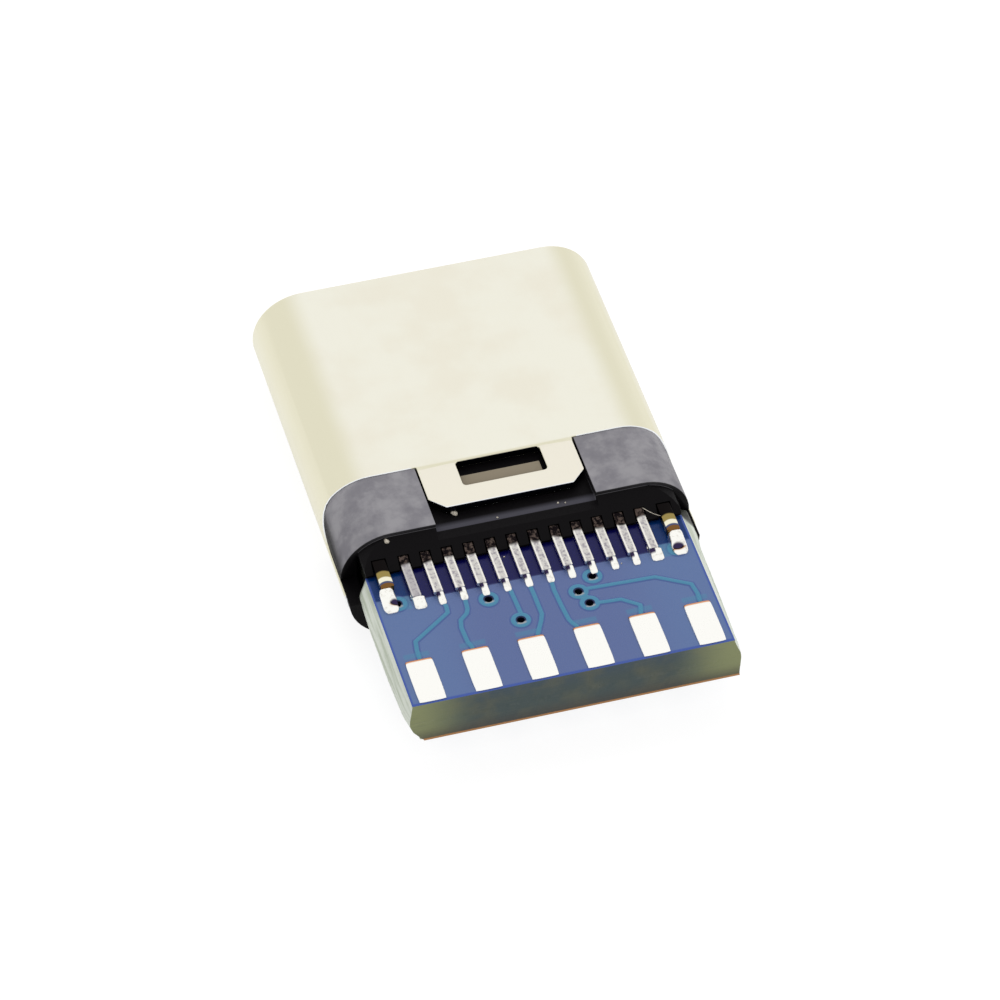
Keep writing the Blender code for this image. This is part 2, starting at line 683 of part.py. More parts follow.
def add_hood(bm):
    """The hood over the upper contacts, cut off by a slope from under the rear rim to the board."""
    radius = MID - HOLDER_INSET - HOOD_DROP
    ring = trimmed_half(POCKET_HALF - HOOD_SIDE, radius, BOARD_HALF)
    rear = HOLDER_REAR + HOOD_LENGTH
    add_loft(bm, [[world(x, s, h) for x, h in ring] for s in (HOLDER_REAR - HOOD_ROOT, rear)])

    rise = radius - (POCKET_TOP + HOOD_LIP)
    cut = bmesh.ops.bisect_plane(bm, geom=bm.verts[:] + bm.edges[:] + bm.faces[:], dist=TINY,
                                 plane_co=world(0.0, HOLDER_REAR, radius),
                                 plane_no=(0.0, -rise, HOOD_LENGTH), clear_outer=True)
    edges = [item for item in cut["geom_cut"] if isinstance(item, bmesh.types.BMEdge)]
    bmesh.ops.contextual_create(bm, geom=edges)


def cut_holder(holder, word, side, channel_rear):
    """Passages and pockets that both holders have, for the shell, contacts, latch and board."""
    tool = shell_recess(f"{word}_shell_tool", SHELL_LENGTH - CUT_LEAD)
    add_modifier(holder, tool, "DIFFERENCE")

    bm = bmesh.new()
    heights = sorted((side * CHANNEL_FLOOR, side * (MID + BEYOND)))
    add_box(bm, (-CHANNEL_HALF, CHANNEL_HALF), (SHELL_LENGTH, channel_rear), heights)
    add_modifier(holder, add_object(f"{word}_channel_tool", bm), "DIFFERENCE")

    bm = bmesh.new()
    add_boss(bm, side)
    add_modifier(holder, add_object(f"{word}_boss_tool", bm), "UNION")

    bm = bmesh.new()
    for number in row_numbers(side):
        add_contact(bm, number, side, FIT)
    add_modifier(holder, add_object(f"{word}_contact_tool", bm), "DIFFERENCE")

    bm = bmesh.new()
    add_latch(bm, FIT)
    add_modifier(holder, add_object(f"{word}_latch_tool", bm), "DIFFERENCE")

    bm = bmesh.new()
    heights = sorted((-side * BEYOND, side * POCKET_TOP))
    add_box(bm, (-POCKET_HALF, POCKET_HALF), (BOARD_FRONT - FIT, LOWER_REAR + BEYOND), heights)
    add_modifier(holder, add_object(f"{word}_board_tool", bm), "DIFFERENCE")


def build_upper_holder(material):
    bm = holder_body(HOLDER_REAR, 1)
    holder = add_object("upper_contact_holder", bm, material, round_piece=True)
    bm = bmesh.new()
    add_hood(bm)
    add_modifier(holder, add_object("hood_tool", bm), "UNION")
    cut_holder(holder, "upper", 1, HOLDER_REAR + BEYOND)


def build_lower_holder(material):
    """The longer holder, whose rear is an open tray under the contacts and the board."""
    holder = add_object("lower_contact_holder", holder_body(LOWER_REAR, -1), material,
                        round_piece=True)
    ring = trimmed_half(POCKET_HALF, MID - HOLDER_INSET - TRAY_WALL, -BEYOND)
    bm = bmesh.new()
    add_loft(bm, [[world(x, s, -h) for x, h in ring] for s in (HOLDER_REAR, LOWER_REAR + BEYOND)])
    add_modifier(holder, add_object("tray_tool", bm), "DIFFERENCE")
    cut_holder(holder, "lower", -1, SHELL_LENGTH + TONGUE_LENGTH + CHANNEL_ROOM)


def board_section(ridge):
    """The board's outline from behind, with a ridge along each side."""
    half, thick = BOARD_WIDTH / 2, BOARD_HALF
    return [(half, -thick), (half + ridge, 0.0), (half, thick), (-half, thick), (-half - ridge, 0.0),
            (-half, -thick)]


def add_lands(bm):
    """The copper lands under the contact feet and the latch legs, sunk a little into the board."""
    root, top = BOARD_HALF - LAND_THICKNESS, BOARD_HALF + LAND_THICKNESS
    front = HOLDER_REAR + HOOD_LENGTH + FIT
    for side in (1, -1):
        heights = sorted((side * root, side * top))
        for number in row_numbers(side):
            x = contact_x(number) + LAND_SHIFT
            add_box(bm, (x - LAND_WIDTH / 2, x + LAND_WIDTH / 2), (front, FOOT_END + LAND_END), heights)
    for side in (1, -1):
        x = side * LATCH_LEG_CENTRE
        half = LATCH_LAND_WIDTH / 2
        add_box(bm, (x - half, x + half), (front, FOOT_END + LAND_END), (root, top))


def build_board(material):
    plain, ridged = board_section(0.0), board_section(BOARD_RIDGE)
    start = LOWER_REAR + RIDGE_START
    stations = ((BOARD_FRONT, plain), (start, plain), (start + RIDGE_RUN, ridged),
                (BOARD_REAR, ridged))
    bm = bmesh.new()
    add_loft(bm, [[world(x, s, h) for x, h in ring] for s, ring in stations])
    board = add_object("circuit_board", bm, material)

    bm = bmesh.new()
    add_lands(bm)
    add_modifier(board, add_object("land_tool", bm), "UNION")

    bm = bmesh.new()
    for x, from_rear in VIA_PLACES:
        ring = arc((x, BOARD_REAR - from_rear), VIA_DIAMETER / 2, 0, 360, 4 * CORNER_STEPS)[:-1]
        reach = BOARD_HALF + LAND_THICKNESS + BEYOND
        add_loft(bm, [[world(px, ps, h) for px, ps in ring] for h in (-reach, reach)])
    add_modifier(board, add_object("via_tool", bm), "DIFFERENCE")


def build_wire_pads(word, side, material):
    """Tinned pads at the rear edge, each a low cushion of solder with a sloping shoulder."""
    rear = BOARD_REAR - WIRE_PAD_MARGIN
    middle = rear - WIRE_PAD_LENGTH / 2
    low = BOARD_HALF + SEAT_GAP
    for k in range(WIRE_PAD_COUNT):
        x = (k - (WIRE_PAD_COUNT - 1) / 2) * WIRE_PAD_PITCH
        sections = []
        for h, inset in ((low, 0.0), (low + WIRE_PAD_THICKNESS / 2, 0.0),
                         (low + WIRE_PAD_THICKNESS, WIRE_PAD_SHOULDER)):
            ring = rounded_rectangle(WIRE_PAD_WIDTH - 2 * inset, WIRE_PAD_LENGTH - 2 * inset,
                                     WIRE_PAD_CORNER)
            sections.append([world(x + px, middle + ps, side * h) for px, ps in ring])
        bm = bmesh.new()
        add_loft(bm, sections)
        add_object(f"{word}_wire_pad_{k + 1}", bm, material)


for old in list(bpy.data.objects):
    bpy.data.objects.remove(old, do_unlink=True)

nickel = plated("nickel_plated_steel", (0.80, 0.78, 0.66), 0.30, 1.0)
black = plated("black_moulding", (0.012, 0.011, 0.014), 0.35, 0.0)
gold = plated("gilt_contact", (0.83, 0.70, 0.42), 0.25, 1.0)
steel = plated("spring_steel", (0.62, 0.60, 0.56), 0.30, 1.0)
mask = plated("blue_solder_mask", (0.03, 0.04, 0.18), 0.25, 0.0)
tin = plated("tinned_copper", (0.86, 0.85, 0.80), 0.30, 1.0)

build_shell(nickel)
build_housing(black)
build_upper_holder(black)
build_lower_holder(black)
build_contacts("upper", 1, gold)
build_contacts("lower", -1, gold)
build_latch(steel)
build_spring("upper_ground_spring", 1, steel)
build_spring("lower_ground_spring", -1, steel)
build_board(mask)
build_wire_pads("upper", 1, tin)
build_wire_pads("lower", -1, tin)
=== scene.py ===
"""A reversible data plug on a short solder board, dressed for its picture.

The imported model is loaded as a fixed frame, in metres. The sections follow the plug as it is put
together: shell, housing, contacts, latch and springs, holders, board, solder, wire pads, and dust.
"""
import math

import bmesh
import bpy
import numpy as np
from mathutils import Matrix, Vector


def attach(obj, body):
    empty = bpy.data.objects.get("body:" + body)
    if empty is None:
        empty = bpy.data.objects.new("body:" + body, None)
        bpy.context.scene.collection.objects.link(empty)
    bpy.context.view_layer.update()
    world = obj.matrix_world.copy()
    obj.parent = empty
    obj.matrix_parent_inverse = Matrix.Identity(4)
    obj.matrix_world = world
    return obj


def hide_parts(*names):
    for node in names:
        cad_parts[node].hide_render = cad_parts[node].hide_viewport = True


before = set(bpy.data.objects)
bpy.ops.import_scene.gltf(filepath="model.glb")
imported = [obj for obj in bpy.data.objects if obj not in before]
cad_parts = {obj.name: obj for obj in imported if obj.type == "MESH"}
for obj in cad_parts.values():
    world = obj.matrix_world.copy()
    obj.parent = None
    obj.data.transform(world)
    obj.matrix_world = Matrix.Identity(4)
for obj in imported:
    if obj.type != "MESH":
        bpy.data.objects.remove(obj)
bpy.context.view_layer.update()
MM = 0.001

# Camera: a long lens looks down on the plug from behind, a little from the left, so that the board
# comes nearest. A turn, a tilt, a distance and a slide set its place from a point by the feet.
CAMERA_TURN = math.radians(15.7562)
CAMERA_TILT = math.radians(45.1775)
CAMERA_DISTANCE = 120.7655 * MM
CAMERA_SLIDE = (-0.8733 * MM, 2.2896 * MM)
CAMERA_AIM = Vector((0, -3.64, 1.2)) * MM
LENS, SENSOR = 194.4, 36
CLIP = (5 * MM, 10)

back = Vector((-math.sin(CAMERA_TURN) * math.cos(CAMERA_TILT),
               -math.cos(CAMERA_TURN) * math.cos(CAMERA_TILT), math.sin(CAMERA_TILT)))
right = Vector((math.cos(CAMERA_TURN), -math.sin(CAMERA_TURN), 0))
up = back.cross(right)
camera = bpy.data.objects.new("camera", bpy.data.cameras.new("camera"))
camera.data.lens, camera.data.sensor_width = LENS, SENSOR
camera.data.clip_start, camera.data.clip_end = CLIP
camera.matrix_world = Matrix.Translation(
    CAMERA_AIM + back * CAMERA_DISTANCE + right * CAMERA_SLIDE[0] + up * CAMERA_SLIDE[1]
) @ Matrix((right, up, back)).transposed().to_4x4()
bpy.context.scene.collection.objects.link(camera)
bpy.context.scene.camera = camera
bpy.context.scene.view_settings.view_transform = "Standard"


# Floor and light: white paper inside a light tent. The tent is even all round, and one soft panel
# high up behind the plug gives its shapes a little shade. The floor keeps a faint shadow.
FLOOR_SIDE = 1200 * MM
FLOOR_DROP = 0.01 * MM
FLOOR_WHITE = "#F2F2F2"
FLOOR_SHADE = 0.22
FLOOR_LIFT = 0.86
TENT_LEVEL = 0.76
PANEL_DISTANCE = 240 * MM
PANEL_SIZE = (210 * MM, 150 * MM)
PANEL_POWER = 0.20


def linear(code):
    """Linear colour of an sRGB hex code: low values over 12.92, the others through the 2.4 power."""
    c = np.array([int(code[i:i + 2], 16) / 255 for i in (1, 3, 5)])
    return (*np.where(c <= 0.04045, c / 12.92, ((c + 0.055) / 1.055) ** 2.4).tolist(), 1.0)


def add(tree, kind, inputs=None, out=0, **settings):
    """Adds a shader node and returns its output. Settings are the node's own values, and inputs are
    socket values or the outputs that feed them."""
    node = tree.nodes.new("ShaderNode" + kind)
    for name, value in settings.items():
        setattr(node, name, value)
    for name, value in (inputs or {}).items():
        if isinstance(value, bpy.types.NodeSocket):
            tree.links.new(value, node.inputs[name])
        else:
            node.inputs[name].default_value = value
    return node.outputs[out] if len(node.outputs) else node


def seen_directly(tree):
    """1 for a ray from the camera, off metal or through glass, and 0 for a ray of soft light."""
    seen = add(tree, "Math", {0: add(tree, "LightPath", out="Is Camera Ray"),
                              1: add(tree, "LightPath", out="Is Glossy Ray")}, operation="MAXIMUM")
    return add(tree, "Math", {0: seen, 1: add(tree, "LightPath", out="Is Transmission Ray")},
               operation="MAXIMUM")


def link(name, data):
    """Puts a new object of this data in the scene."""
    made = bpy.data.objects.new(name, data)
    bpy.context.scene.collection.objects.link(made)
    return made


tent = bpy.data.worlds.new("light_tent")
tent.use_nodes = True
tree = tent.node_tree
tree.nodes.clear()
level = add(tree, "MapRange", {0: seen_directly(tree), 3: TENT_LEVEL, 4: 1.0})
cloth = add(tree, "Background", {"Color": (1, 1, 1, 1), "Strength": level})
add(tree, "OutputWorld", {"Surface": cloth})
bpy.context.scene.world = tent

# matt paper: soft light meets a plain white sheet, the camera and the metal see it lifted to white with
# a faint shadow on it, and from below it is clear
paper = bpy.data.materials.new("white_paper")
paper.use_nodes = True
tree = paper.node_tree
tree.nodes.clear()
plain = add(tree, "BsdfDiffuse", {"Color": linear(FLOOR_WHITE)})
shade = add(tree, "BsdfDiffuse", {"Color": (FLOOR_SHADE, FLOOR_SHADE, FLOOR_SHADE, 1)})
lift = add(tree, "Emission", {"Color": (1, 1, 1, 1), "Strength": FLOOR_LIFT})
lifted = add(tree, "AddShader", {0: shade, 1: lift})
top = add(tree, "MixShader", {0: seen_directly(tree), 1: plain, 2: lifted})
under = add(tree, "NewGeometry", out="Backfacing")
add(tree, "OutputMaterial", {"Surface": add(tree, "MixShader", {
    0: under, 1: top, 2: add(tree, "BsdfTransparent")})})

floor_mesh = bpy.data.meshes.new("floor")
half = FLOOR_SIDE / 2
floor_mesh.from_pydata([(-half, -half, -FLOOR_DROP), (half, -half, -FLOOR_DROP),
                        (half, half, -FLOOR_DROP), (-half, half, -FLOOR_DROP)], [], [(0, 1, 2, 3)])
floor_mesh.materials.append(paper)
link("floor", floor_mesh)

panel = link("soft_panel", bpy.data.lights.new("soft_panel", "AREA"))
panel.data.shape = "RECTANGLE"
panel.data.size, panel.data.size_y = PANEL_SIZE
panel.data.energy = PANEL_POWER
towards = Vector((-back.x, -back.y, back.z))
panel.matrix_world = (Matrix.Translation(CAMERA_AIM + towards * PANEL_DISTANCE)
                      @ towards.to_track_quat("Z", "Y").to_matrix().to_4x4())
panel.visible_camera = panel.visible_glossy = False


# Shell: deep-drawn stainless steel, plated with satin nickel that has a warm, slightly cloudy
# cast. It is one seamless sleeve, and a tongue with a window holds the moulding at the back.
NICKEL_TOP = "#F0EEE0"
NICKEL_CLOUD = "#EDE9D9"
NICKEL_BEND_SHADE = "#E2DEC5"
NICKEL_TONGUE = "#EFEADB"
NICKEL_RIM_HIGHLIGHT = "#F6F8FA"
STEEL_SHEARED_DARK_REFLECTION = "#1A1C2A"
NICKEL_ROUGH = (0.28, 0.38)
NICKEL_RELIEF = 0.0003 * MM
NICKEL_CLOUD_SIZE = 1.6 * MM
NICKEL_GRAIN = 0.05 * MM
DRAW_MARKS = (0.035 * MM, 3.0 * MM, 0.035 * MM)
BEND_ACROSS = (2.85 * MM, 3.45 * MM)
SIDE_BEND = 0.7
CUT_REACH = (1.95 * MM, 0.06 * MM)
CUT_SOFT = 0.02 * MM
CREASE_HALF, CREASE_SHARE = 0.04 * MM, 0.5
RIM_FROM = -1.0 * MM
SHELL_EDGE = 0.022 * MM
WINDOW_HALF, WINDOW_ALONG, WINDOW_ABOVE = 1.0, (-0.76, 0.0), 2.0
WINDOW_FRONT = -0.3
WINDOW_ACROSS, WINDOW_AHEAD = (0.075, 0.03), 0.06
SOFT_ANGLE = math.radians(24)
FLAT_ANGLE = math.radians(0.6)
MERGE = 0.0001 * MM

# settings that many nodes share: a range with soft ends, and a mix of two colours, its third output
SOFT_ENDS = {"interpolation_type": "SMOOTHSTEP"}
OF_COLOURS = {"out": 2, "data_type": "RGBA"}


def blank_material(name):
    """An empty node material and its tree."""
    made = bpy.data.materials.new(name)
    made.use_nodes = True
    made.node_tree.nodes.clear()
    return made, made.node_tree


def finish_material(tree, surface, relief=None, depth=0.0):
    """Ends a material with a principled surface, and a bump of that depth in metres from the relief."""
    if relief is not None:
        surface = {**surface, "Normal": add(tree, "Bump", {"Height": relief, "Distance": depth})}
    add(tree, "OutputMaterial", {"Surface": add(tree, "BsdfPrincipled", surface)})


def dressed(node, edge):
    """Copy of a CAD node, merged and with its flat faces joined. Its sharp edges are rounded to that
    width, and each normal follows the larger face."""
    work = bmesh.new()
    work.from_mesh(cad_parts[node].data)
    bmesh.ops.remove_doubles(work, verts=work.verts, dist=MERGE)
    bmesh.ops.dissolve_limit(work, angle_limit=FLAT_ANGLE, verts=work.verts, edges=work.edges,
                             delimit=set())
    bmesh.ops.recalc_face_normals(work, faces=work.faces)
    mesh = bpy.data.meshes.new(node + "_finished")
    work.to_mesh(mesh)
    work.free()
    mesh.shade_smooth()
    piece = link(node + "_finished", mesh)
    rounding = piece.modifiers.new("edges", "BEVEL")
    rounding.width, rounding.segments = edge, 2
    rounding.limit_method, rounding.angle_limit = "ANGLE", SOFT_ANGLE
    rounding.use_clamp_overlap = False
    evened = piece.modifiers.new("evened", "WEIGHTED_NORMAL")
    evened.weight = 100
    return piece


def reworked(piece, change):
    """The piece, after change has moved its points, which it is given in mm as rows of x, y and z."""
    points = np.zeros(len(piece.data.vertices) * 3)
    piece.data.vertices.foreach_get("co", points)
    points = points.reshape(-1, 3) / MM
    change(points)
    piece.data.vertices.foreach_set("co", (points * MM).ravel())
    return piece


def fit(piece, material, slot, *nodes):
    """Gives a piece its material, seats it on the one body, and hides the nodes that it stands for. Its
    slot is not used."""
    piece.data.materials.append(material)
    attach(piece, "root")
    if nodes:
        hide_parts(*nodes)


# satin nickel over steel: a broken mirror, cream where flat, with a painted straw shade in the bends and
# the crease, and faint marks of the drawing. Round the tongue the sheared faces are painted with a dark
# reflection, under a painted bright highlight on the rim. The real grain is finer, and it is drawn
# coarse enough to show
nickel, tree = blank_material("satin_nickel_plate")
place = add(tree, "TexCoord", out="Object")
clouds = add(tree, "TexNoise", {"Vector": place, "Scale": 1 / NICKEL_CLOUD_SIZE, "Detail": 5.0})
grain = add(tree, "TexNoise", {"Vector": place, "Scale": 1 / NICKEL_GRAIN, "Detail": 2.0})
stretched = add(tree, "Mapping", {"Vector": place, "Scale": [1 / size for size in DRAW_MARKS]})
drawn = add(tree, "TexNoise", {"Vector": stretched, "Scale": 1.0, "Detail": 2.0})
worked = add(tree, "Math", {0: grain, 1: drawn}, operation="ADD")
facing = add(tree, "NewGeometry", out="Normal")
rearward, upright = (add(tree, "SeparateXYZ", {0: facing}, out=axis) for axis in "YZ")
flat = add(tree, "Math", {0: upright}, operation="ABSOLUTE")
x, y = (add(tree, "SeparateXYZ", {0: place}, out=axis) for axis in "XY")
sideways = add(tree, "Math", {0: x}, operation="ABSOLUTE")
cloudy = add(tree, "MapRange", {0: clouds, 1: 0.38, 2: 0.66}, **SOFT_ENDS)
# the painted shade of the bend lies where the face leans from level or lies far out, and eases on the
# upright sides
leaning = add(tree, "MapRange", {0: flat, 1: 0.999, 2: 0.80}, **SOFT_ENDS)
outward = add(tree, "MapRange", {0: sideways, 1: BEND_ACROSS[0], 2: BEND_ACROSS[1]}, **SOFT_ENDS)
eased = add(tree, "MapRange", {0: flat, 1: 0.20, 2: 0.70, 3: SIDE_BEND, 4: 1.0}, **SOFT_ENDS)
bent = add(tree, "Math", {0: leaning, 1: outward}, operation="MAXIMUM")
bent = add(tree, "Math", {0: bent, 1: eased}, operation="MULTIPLY")
# the tongue, the painted dark reflection on its sheared faces, and the painted shade in the crease where
# it leaves the sleeve
across, along = (add(tree, "MapRange", {0: value, 1: reach, 2: reach - CUT_SOFT})
                 for value, reach in ((sideways, CUT_REACH[0]), (y, CUT_REACH[1])))
on_tongue = add(tree, "Math", {0: across, 1: along}, operation="MULTIPLY")
# the sheared faces are painted with a dark reflection
sheared = add(tree, "MapRange", {0: flat, 1: 0.42, 2: 0.22}, **SOFT_ENDS)
sheared = add(tree, "Math", {0: sheared, 1: on_tongue}, operation="MULTIPLY")
from_root = add(tree, "Math", {0: y, 1: CUT_REACH[1]}, operation="SUBTRACT")
from_root = add(tree, "Math", {0: from_root}, operation="ABSOLUTE")
crease = add(tree, "MapRange", {0: from_root, 1: CREASE_HALF, 2: 0.0, 4: CREASE_SHARE})
crease = add(tree, "Math", {0: crease, 1: across}, operation="MULTIPLY")
# the painted highlight on the rim, on edges that face the rear, but not in the window
rim = add(tree, "MapRange", {0: rearward, 1: -0.25, 2: -0.55}, **SOFT_ENDS)
inner = add(tree, "MapRange", {0: y, 1: RIM_FROM, 2: RIM_FROM + CUT_SOFT})
inner = add(tree, "Math", {0: across, 1: inner}, operation="MULTIPLY")
outer = add(tree, "Math", {0: 1.0, 1: inner}, operation="SUBTRACT")
rim = add(tree, "Math", {0: rim, 1: outer}, operation="MULTIPLY")
colour = linear(NICKEL_TOP)
for amount, tone in ((cloudy, NICKEL_CLOUD), (on_tongue, NICKEL_TONGUE), (bent, NICKEL_BEND_SHADE),
                     (crease, NICKEL_BEND_SHADE), (rim, NICKEL_RIM_HIGHLIGHT), (sheared, STEEL_SHEARED_DARK_REFLECTION)):
    colour = add(tree, "Mix", {0: amount, 6: colour, 7: linear(tone)}, **OF_COLOURS)
roughness = add(tree, "MapRange", {0: worked, 1: 0.7, 2: 1.3, 3: NICKEL_ROUGH[0], 4: NICKEL_ROUGH[1]})
finish_material(tree, {"Base Color": colour, "Metallic": 1.0, "Roughness": roughness},
                worked, NICKEL_RELIEF)


def stretch_window(points):
    """Moves the upper window's sides to the right, and its front edge forward, to where they show."""
    x, y, z = points.T
    rear, front = WINDOW_ALONG
    window = (abs(x) < WINDOW_HALF) & (y < front) & (y > rear) & (z > WINDOW_ABOVE)
    ahead = window & (y > WINDOW_FRONT)
    points[window, 0] += np.where(x[window] > 0, *WINDOW_ACROSS)
    points[ahead, 1] += WINDOW_AHEAD


fit(reworked(dressed("shell", SHELL_EDGE), stretch_window), nickel, "nickel", "shell")


# Front housing: one black moulding in glass-filled liquid-crystal polymer, pushed into the shell
# from behind. It fills the bore round the mating slot and shows only inside the mouth.
MOULDING_BLACK = "#080608"
MOULDING_SHEEN_BRIGHT = "#99979B"
MOULDING_SHEEN_DULL = "#7F7D83"
MOULDING_SHEEN_SHADED = "#47464E"
MOULDING_SHEEN_TAN = "#8C8270"
MOULDING_GLOSS = 0.06
MOULDING_ROUGH = (0.42, 0.60)
MOULDING_RELIEF = 0.002 * MM
MOULDING_GRAIN = 0.035 * MM
SHEEN_SIZE = 0.55 * MM
SHEEN_BEHIND, SHEEN_AHEAD = -1.77 * MM, 0.16 * MM
LEDGE_TOP = 1.20 * MM
CHANNEL_HALF, CHANNEL_TOP, CHANNEL_REAR = 1.86 * MM, 2.22 * MM, -1.58 * MM
POCKET_HALF, POCKET_REAR = 1.10 * MM, -0.31 * MM
BOSS_REAR = -0.90 * MM
GATE = 0.02 * MM
HOUSING_EDGE = 0.012 * MM

# filled polymer: black, with a painted grey sheen of the light, mottled, on the outer upward faces, and
# none where they lie in shade. The channel under the tongue gets a darker copy of the painted sheen, and
# the boss in the tongue's window a tan one. The real grain is finer, and it is drawn coarse enough to
# show
moulding, tree = blank_material("black_filled_polymer")
place = add(tree, "TexCoord", out="Object")
clouds = add(tree, "TexNoise", {"Vector": place, "Scale": 1 / SHEEN_SIZE, "Detail": 6.0,
                                "Roughness": 0.6})
grain = add(tree, "TexNoise", {"Vector": place, "Scale": 1 / MOULDING_GRAIN, "Detail": 3.0})
upright = add(tree, "SeparateXYZ", {0: add(tree, "NewGeometry", out="Normal")}, out="Z")
x, y, z = (add(tree, "SeparateXYZ", {0: place}, out=axis) for axis in "XYZ")
sideways = add(tree, "Math", {0: x}, operation="ABSOLUTE")
# the painted sheen: on faces that look up, between the rear edge and the mouth, above the ledge
painted_sheen = add(tree, "MapRange", {0: upright, 1: 0.06, 2: 0.50}, **SOFT_ENDS)
for value, off, on in ((y, SHEEN_BEHIND, SHEEN_BEHIND + GATE), (y, SHEEN_AHEAD, SHEEN_AHEAD - 0.05 * MM),
                       (z, LEDGE_TOP, LEDGE_TOP + 0.03 * MM)):
    gate = add(tree, "MapRange", {0: value, 1: off, 2: on})
    painted_sheen = add(tree, "Math", {0: painted_sheen, 1: gate}, operation="MULTIPLY")
# no painted sheen where the channel under the tongue and the pocket in the window lie in shade
in_channel = add(tree, "MapRange", {0: sideways, 1: CHANNEL_HALF + 0.03 * MM, 2: CHANNEL_HALF})
in_shade = in_channel
for value, off, on in ((z, CHANNEL_TOP + 0.03 * MM, CHANNEL_TOP),
                       (y, CHANNEL_REAR - 0.08 * MM, CHANNEL_REAR + 0.06 * MM)):
    gate = add(tree, "MapRange", {0: value, 1: off, 2: on})
    in_shade = add(tree, "Math", {0: in_shade, 1: gate}, operation="MULTIPLY")
in_window = add(tree, "MapRange", {0: sideways, 1: POCKET_HALF + GATE, 2: POCKET_HALF})
pocket = add(tree, "MapRange", {0: y, 1: POCKET_REAR, 2: POCKET_REAR + GATE})
pocket = add(tree, "Math", {0: in_window, 1: pocket}, operation="MULTIPLY")
in_shade = add(tree, "Math", {0: in_shade, 1: pocket}, operation="MAXIMUM")
unshaded = add(tree, "Math", {0: 1.0, 1: in_shade}, operation="SUBTRACT")
painted_sheen = add(tree, "Math", {0: painted_sheen, 1: unshaded}, operation="MULTIPLY")
cloudy = add(tree, "MapRange", {0: clouds, 1: 0.35, 2: 0.68}, **SOFT_ENDS)
# a darker, shaded copy of the painted sheen low in the channel
low = add(tree, "MapRange", {0: z, 1: CHANNEL_TOP, 2: CHANNEL_TOP - 0.04 * MM})
low = add(tree, "Math", {0: low, 1: in_channel}, operation="MULTIPLY")
# a tan copy of the painted sheen on the boss in the window
boss = add(tree, "MapRange", {0: y, 1: BOSS_REAR - GATE, 2: BOSS_REAR})
boss = add(tree, "Math", {0: boss, 1: in_window}, operation="MULTIPLY")
sheen_tone = linear(MOULDING_SHEEN_DULL)
for amount, tone in ((cloudy, MOULDING_SHEEN_BRIGHT), (low, MOULDING_SHEEN_SHADED), (boss, MOULDING_SHEEN_TAN)):
    sheen_tone = add(tree, "Mix", {0: amount, 6: sheen_tone, 7: linear(tone)}, **OF_COLOURS)
colour = add(tree, "Mix", {0: painted_sheen, 6: linear(MOULDING_BLACK), 7: sheen_tone}, **OF_COLOURS)
roughness = add(tree, "MapRange", {0: grain, 1: 0.3, 2: 0.7, 3: MOULDING_ROUGH[0], 4: MOULDING_ROUGH[1]})
finish_material(tree, {"Base Color": colour, "IOR": 1.6, "Specular IOR Level": MOULDING_GLOSS,
                       "Roughness": roughness}, grain, MOULDING_RELIEF)
fit(dressed("front_housing", HOUSING_EDGE), moulding, "black_moulding", "front_housing")


# Contacts: strips stamped from phosphor bronze. Their mating ends are gold plated, and the rest is
# plated with matt tin, which soldering leaves bright at the edges and speckled in between.
GOLD = "#E8C06A"
TIN = "#F3F0E8"
TIN_DULL = "#D2CFCA"
TIN_SPECK = "#A39EA4"
SHADE_AND_FLUX_DARK = "#141012"
SHADE_AND_FLUX_BROWN = "#584C46"
TIN_ROUGH = (0.22, 0.40)
TIN_RELIEF = 0.003 * MM
TIN_GRAIN = 0.085 * MM
GOLD_START, GOLD_FADE = 1.6 * MM, 0.3 * MM
PITCH = 0.5 * MM
TIN_BAND = (0.085 * MM, 0.045 * MM)
SHADE_AND_FLUX_START = (-2.30 * MM, -2.20 * MM)
SHADE_AND_FLUX_WAVER = 0.4 * MM
FIRST_TAIL, FIRST_DULL = -2.6 * MM, 0.6
CONTACT_EDGE = 0.020 * MM

# tin over bronze: white metal with a frosted middle, and painted shade with brown flux specks where the
# tails run in under the moulding
strip, tree = blank_material("gilt_and_tinned_bronze")
place = add(tree, "TexCoord", out="Object")
x, y = (add(tree, "SeparateXYZ", {0: place}, out=axis) for axis in "XY")
grain = add(tree, "TexNoise", {"Vector": place, "Scale": 1 / TIN_GRAIN, "Detail": 4.0,
                               "Roughness": 0.65})
across = add(tree, "Math", {0: x, 1: PITCH / 2}, operation="PINGPONG")
middle = add(tree, "MapRange", {0: across, 1: PITCH / 2 - TIN_BAND[0], 2: PITCH / 2 - TIN_BAND[1]},
             **SOFT_ENDS)
specks = add(tree, "MapRange", {0: grain, 1: 0.46, 2: 0.62}, **SOFT_ENDS)
speckle = add(tree, "Math", {0: specks, 1: middle}, operation="MULTIPLY")
first = add(tree, "MapRange", {0: x, 1: FIRST_TAIL, 2: FIRST_TAIL - 0.02 * MM, 4: FIRST_DULL})
